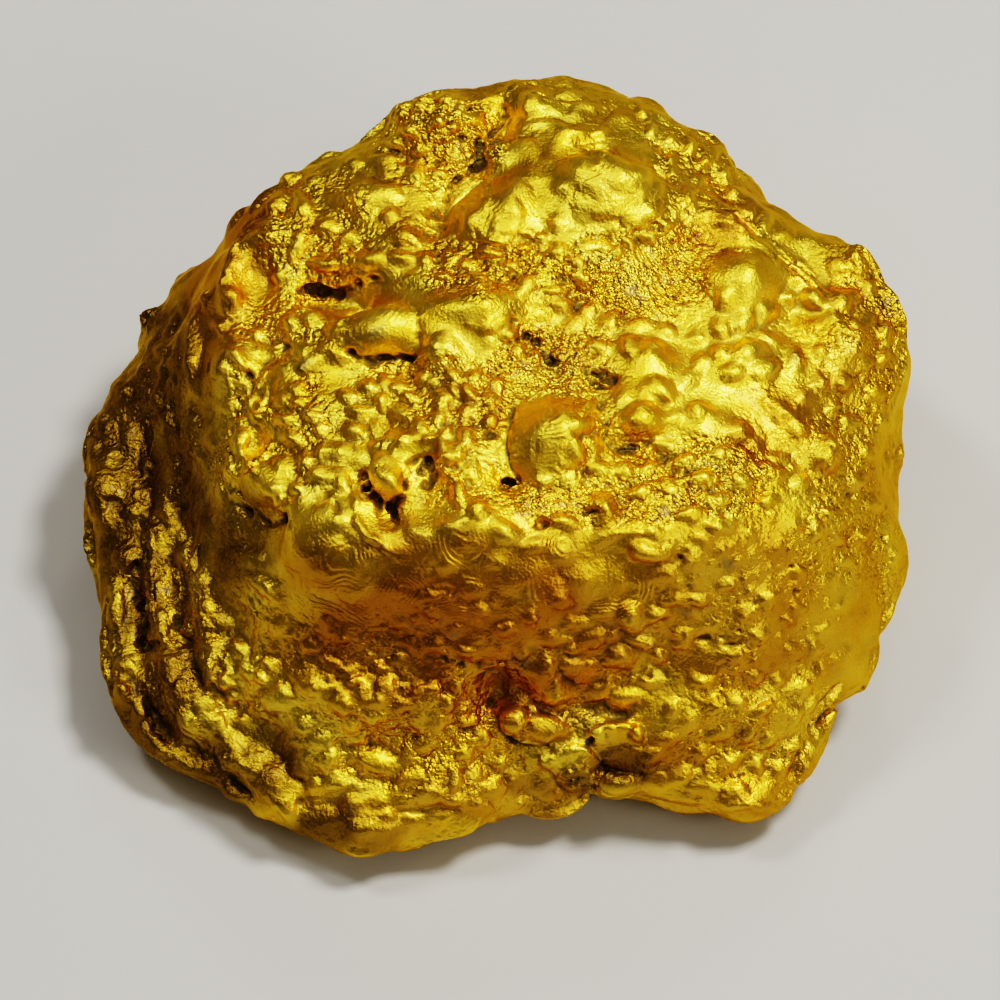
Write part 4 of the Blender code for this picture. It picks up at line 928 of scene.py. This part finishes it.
def smoothed(values, passes):
    """A value on each point, evened out along the edges."""
    ends = np.empty(len(skin.mesh.edges) * 2, np.int32)
    skin.mesh.edges.foreach_get("vertices", ends)
    first, second = ends[0::2], ends[1::2]
    count = np.bincount(first, minlength=skin.size) + np.bincount(second, minlength=skin.size)
    for _ in range(passes):
        total = np.bincount(first, values[second], skin.size)
        total += np.bincount(second, values[first], skin.size)
        values = 0.5 * values + 0.5 * total / count
    return values


def hollowness(passes, depth):
    """How far each point lies under the evened-out surface round it, as a share of a depth."""
    even = np.column_stack([smoothed(skin.points[:, axis], passes) for axis in range(3)])
    return ((even - skin.points) * skin.normals).sum(axis=1) / (depth * MM)


def paint(name, values):
    layer = skin.mesh.attributes.new(name, "FLOAT", "POINT")
    layer.data.foreach_set("value", np.clip(values, 0, 1).astype(np.float32))


# Painted shade: the hollows and the listed zones are darkened, partly as soil and partly as shade.
soil_and_shade = sum(share * hollowness(passes, depth) for passes, depth, share in HOLLOWS) - UNMARKED_LEVEL
soil_and_shade += zone_share(DIRT_AND_SHADE_ZONES) * patchy(0.8, 0.8, size=0.8, seed=27, least=0, most=1.2)
folded = patchy(0.5, 1.6, size=2.6, seed=25, least=0, most=1)
paint("wrinkled", zone_share(WRINKLED_ZONES) * folded)
paint("grime_and_shade", soil_and_shade)
# Painted shade in amber and olive on the sides that turn from the lamps, in blotches.
for seed, (name, zones) in enumerate((("amber_shade", AMBER_SHADE_ZONES), ("olive_shade", OLIVE_SHADE_ZONES)), start=21):
    blotches = patchy(1.0, 0.5, size=3.0, seed=seed, least=0.4, most=1.4)
    paint(name, zone_share(zones) * blotches)
paint("tarnish", zone_share(TARNISH_SPOTS))
paint("crumb", crumb)

# ---------------------------------------------------------------------------
# The metal. Native gold with a little silver in it, satin where water rubbed
# it and brighter on the crumb. Colours are linear; scales are in features to
# the metre and depths in metres.
RICH_YELLOW = (0.95, 0.66, 0.075)
WARM_YELLOW = (0.88, 0.53, 0.038)
# Amber is painted shade on the face, flanks and skirt; it also tints the crumb.
AMBER = (0.50, 0.215, 0.018)
# Olive is painted shade on the left flank and the lower faces near the foot.
OLIVE_SHADE = (0.25, 0.142, 0.016)
# The soil colour is partly dirt and partly painted shade in the hollows.
DIRT_AND_SHADE = (0.060, 0.045, 0.016)
TARNISH = (0.24, 0.19, 0.07)
EDGE_TINT = (0.85, 0.60, 0.16, 1.0)
COAT, COAT_ROUGHNESS = 0.08, 0.22
YELLOW_SCALE, YELLOW_ENDS = 260, (0.38, 0.62)
WEAR_SCALE, WEAR_ENDS = 900, (0.3, 0.7)
RUBBED = (0.36, 0.48)
BRIGHT = (0.27, 0.38)
OLIVE_ENDS = (0.2, 0.9)
SOIL_AND_SHADE_ENDS = (0.2, 0.9)
CRUMB_ENDS = (0.20, 0.95)
OLIVE_MATT = 0.05
CRUMB_AMBER = 0.17
SOIL_AND_SHADE_COVER = 0.9
SOILED_AND_SHADED_METAL = 0.15
GRIT_SCALE, GRIT_DEPTH = 2300, 0.00010
CRUMB_CELLS = ((2050, 0.00032), (3900, 0.00014))
FINE_GRIT_SCALE, FINE_GRIT_DEPTH = 5200, 0.00005
STREAK_SCALE, STREAK_DEPTH = 2400, 0.00020
STREAK_STRETCH = (1.0, 1.0, 0.22)
WRINKLE_SCALE, WRINKLE_TURNS, WRINKLE_DEPTH = 230, 150.0, 0.000030

gold = bpy.data.materials.new("native_gold")
gold.use_nodes = True
tree = gold.node_tree
shader = tree.nodes["Principled BSDF"]
shader.inputs["Metallic"].default_value = 1.0
shader.inputs["Specular Tint"].default_value = EDGE_TINT
shader.inputs["Coat Weight"].default_value = COAT
shader.inputs["Coat Roughness"].default_value = COAT_ROUGHNESS


def node(kind, **settings):
    made = tree.nodes.new(kind)
    for name, value in settings.items():
        setattr(made, name, value)
    return made


def feed(value, socket):
    """Links an output to a socket, or sets a plain number or colour on it."""
    if isinstance(value, bpy.types.NodeSocket):
        tree.links.new(value, socket)
    else:
        socket.default_value = value


def grit(scale, detail=2.0, place=None):
    """Noise over the nugget's own space."""
    made = node("ShaderNodeTexNoise")
    feed(place or own_space, made.inputs["Vector"])
    feed(scale, made.inputs["Scale"])
    feed(detail, made.inputs["Detail"])
    return made.outputs["Fac"]


def spread(value, low, high, start=0.0, end=1.0):
    """A value's part between low and high, spread from start to end."""
    made = node("ShaderNodeMapRange")
    for socket, part in zip(made.inputs, (value, low, high, start, end)):
        feed(part, socket)
    return made.outputs["Result"]


def tint(share, under, over):
    """One colour over another, by a share."""
    made = node("ShaderNodeMix", data_type="RGBA")
    feed(share, made.inputs["Factor"])
    for name, colour in (("A", under), ("B", over)):
        socket = next(s for s in made.inputs if s.name == name and s.type == "RGBA")
        feed((*colour, 1.0) if isinstance(colour, tuple) else colour, socket)
    return next(s for s in made.outputs if s.type == "RGBA")


def worn(name):
    """A mask painted on the skin."""
    return node("ShaderNodeAttribute", attribute_name=name).outputs["Fac"]


def maths(operation, *values):
    """The result of one operation on one or two values."""
    made = node("ShaderNodeMath", operation=operation)
    for socket, value in zip(made.inputs, values):
        feed(value, socket)
    return made.outputs["Value"]


def dented(height, depth, before=None):
    """A bump over the one before."""
    made = node("ShaderNodeBump")
    feed(height, made.inputs["Height"])
    feed(depth, made.inputs["Distance"])
    feed(1.0, made.inputs["Strength"])
    if before:
        feed(before, made.inputs["Normal"])
    return made.outputs["Normal"]


own_space = node("ShaderNodeTexCoord").outputs["Object"]
colour = tint(spread(grit(YELLOW_SCALE, 3), *YELLOW_ENDS), WARM_YELLOW, RICH_YELLOW)
# Amber painted shade on the face, flanks and skirt.
colour = tint(worn("amber_shade"), colour, AMBER)
# Olive painted shade on the left flank and the lower faces near the foot.
colour = tint(worn("olive_shade"), colour, OLIVE_SHADE)
colour = tint(spread(worn("crumb"), 0.2, 1.0, 0.0, CRUMB_AMBER), colour, AMBER)
# Soil and painted shade darken the hollows, and the metal there is made duller.
colour = tint(spread(worn("grime_and_shade"), 0.0, 1.0, 0.0, SOIL_AND_SHADE_COVER), colour, DIRT_AND_SHADE)
colour = tint(worn("tarnish"), colour, TARNISH)
feed(colour, shader.inputs["Base Color"])
feed(spread(worn("grime_and_shade"), *SOIL_AND_SHADE_ENDS, 1.0, SOILED_AND_SHADED_METAL), shader.inputs["Metallic"])

roughness = node("ShaderNodeMix", data_type="FLOAT")
feed(worn("crumb"), roughness.inputs[0])
feed(spread(grit(WEAR_SCALE, 3), *WEAR_ENDS, *RUBBED), roughness.inputs[2])
feed(spread(grit(WEAR_SCALE, 3), *WEAR_ENDS, *BRIGHT), roughness.inputs[3])
olive_matt = spread(worn("olive_shade"), *OLIVE_ENDS, 0.0, OLIVE_MATT)
feed(maths("ADD", roughness.outputs[0], olive_matt), shader.inputs["Roughness"])

gritty = spread(worn("crumb"), 0.0, 1.0, 0.2, 0.5)
bumps = dented(maths("MULTIPLY", grit(GRIT_SCALE), gritty), GRIT_DEPTH)
for scale, depth in CRUMB_CELLS:
    cells = node("ShaderNodeTexVoronoi")
    feed(own_space, cells.inputs["Vector"])
    feed(scale, cells.inputs["Scale"])
    rounded = maths("MULTIPLY", cells.outputs["Distance"], cells.outputs["Distance"])
    sunk = spread(worn("crumb"), *CRUMB_ENDS, 0.0, -1.0)
    bumps = dented(maths("MULTIPLY", rounded, sunk), depth, bumps)
bumps = dented(grit(FINE_GRIT_SCALE), FINE_GRIT_DEPTH, bumps)
drawn = node("ShaderNodeVectorMath", operation="MULTIPLY")
feed(own_space, drawn.inputs[0])
feed(STREAK_STRETCH, drawn.inputs[1])
streaks = grit(STREAK_SCALE, place=drawn.outputs["Vector"])
streaks = maths("MULTIPLY", streaks, spread(worn("olive_shade"), *OLIVE_ENDS))
bumps = dented(streaks, STREAK_DEPTH, bumps)
crests = maths("SINE", maths("MULTIPLY", grit(WRINKLE_SCALE, 1.5), WRINKLE_TURNS))
bumps = dented(maths("MULTIPLY", crests, worn("wrinkled")), WRINKLE_DEPTH, bumps)
feed(bumps, shader.inputs["Normal"])

MOST_TRIANGLES = 195000
nugget.data.materials.clear()
nugget.data.materials.append(gold)
nugget.data.shade_smooth()
thin = nugget.modifiers.new("thin", "DECIMATE")
thin.ratio = MOST_TRIANGLES / sum(len(face.vertices) - 2 for face in nugget.data.polygons)
thin.use_collapse_triangulate = True
bpy.ops.object.select_all(action="DESELECT")
bpy.context.view_layer.objects.active = nugget
nugget.select_set(True)
bpy.ops.object.modifier_apply(modifier=thin.name)

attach(nugget, "root")
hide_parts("nugget")

# ---------------------------------------------------------------------------
# The floor. A plain pale sheet under the nugget, matt like primed board; it
# only shows the nugget off and isn't part of it.
FLOOR_SIDE = 3.0
FLOOR_TONE = (0.55, 0.545, 0.53, 1.0)
FLOOR_ROUGHNESS = 0.6
bpy.ops.object.select_all(action="DESELECT")
bpy.ops.mesh.primitive_plane_add(size=FLOOR_SIDE, location=(0, 0, 0))
floor = bpy.context.active_object
floor.name = "floor"
floor_paint = bpy.data.materials.new("floor_paint")
floor_paint.use_nodes = True
floor_shader = floor_paint.node_tree.nodes["Principled BSDF"]
floor_shader.inputs["Base Color"].default_value = FLOOR_TONE
floor_shader.inputs["Roughness"].default_value = FLOOR_ROUGHNESS
floor.data.materials.append(floor_paint)

# ---------------------------------------------------------------------------
# The light. Soft square lamps round the nugget: each has its place in metres,
# side, brightness and colour, and faces the nugget.
LAMPS = {
    "key": ((0.24, 0.06, 0.53), 0.12, 54.0, (1.0, 0.98, 0.93)),
    "glint": ((-0.20, 0.10, 0.45), 0.10, 19.0, (1.0, 0.98, 0.94)),
    "back": ((0.08, 0.42, 0.42), 0.10, 9.0, (1.0, 0.98, 0.94)),
    "front": ((-0.12, -0.42, 0.46), 0.14, 2.5, (1.0, 0.95, 0.85)),
    "ceiling": ((0.10, -0.10, 0.85), 1.00, 0.38, (1.0, 0.97, 0.92)),
    "fill": ((0.42, -0.30, 0.32), 0.20, 7.0, (1.0, 0.93, 0.80)),
}
DAYLIGHT = (1.0, 0.98, 0.95, 1.0)
DAYLIGHT_STRENGTH = 0.05
EXPOSURE = -0.3
for name, (place, side, brightness, colour) in LAMPS.items():
    lamp_data = bpy.data.lights.new(name, "AREA")
    lamp_data.size = side
    lamp_data.energy = brightness * math.pi * side**2
    lamp_data.color = colour
    lamp = bpy.data.objects.new(name, lamp_data)
    lamp.location = place
    lamp.rotation_euler = (Vector(place) - LOOK_AT).to_track_quat("Z", "Y").to_euler()
    bpy.context.scene.collection.objects.link(lamp)
world = bpy.data.worlds.new("studio")
bpy.context.scene.world = world
world.use_nodes = True
world.node_tree.nodes["Background"].inputs["Color"].default_value = DAYLIGHT
world.node_tree.nodes["Background"].inputs["Strength"].default_value = DAYLIGHT_STRENGTH
view = bpy.context.scene.view_settings
view.view_transform = "Filmic"
view.look = "Very High Contrast"
view.exposure = EXPOSURE
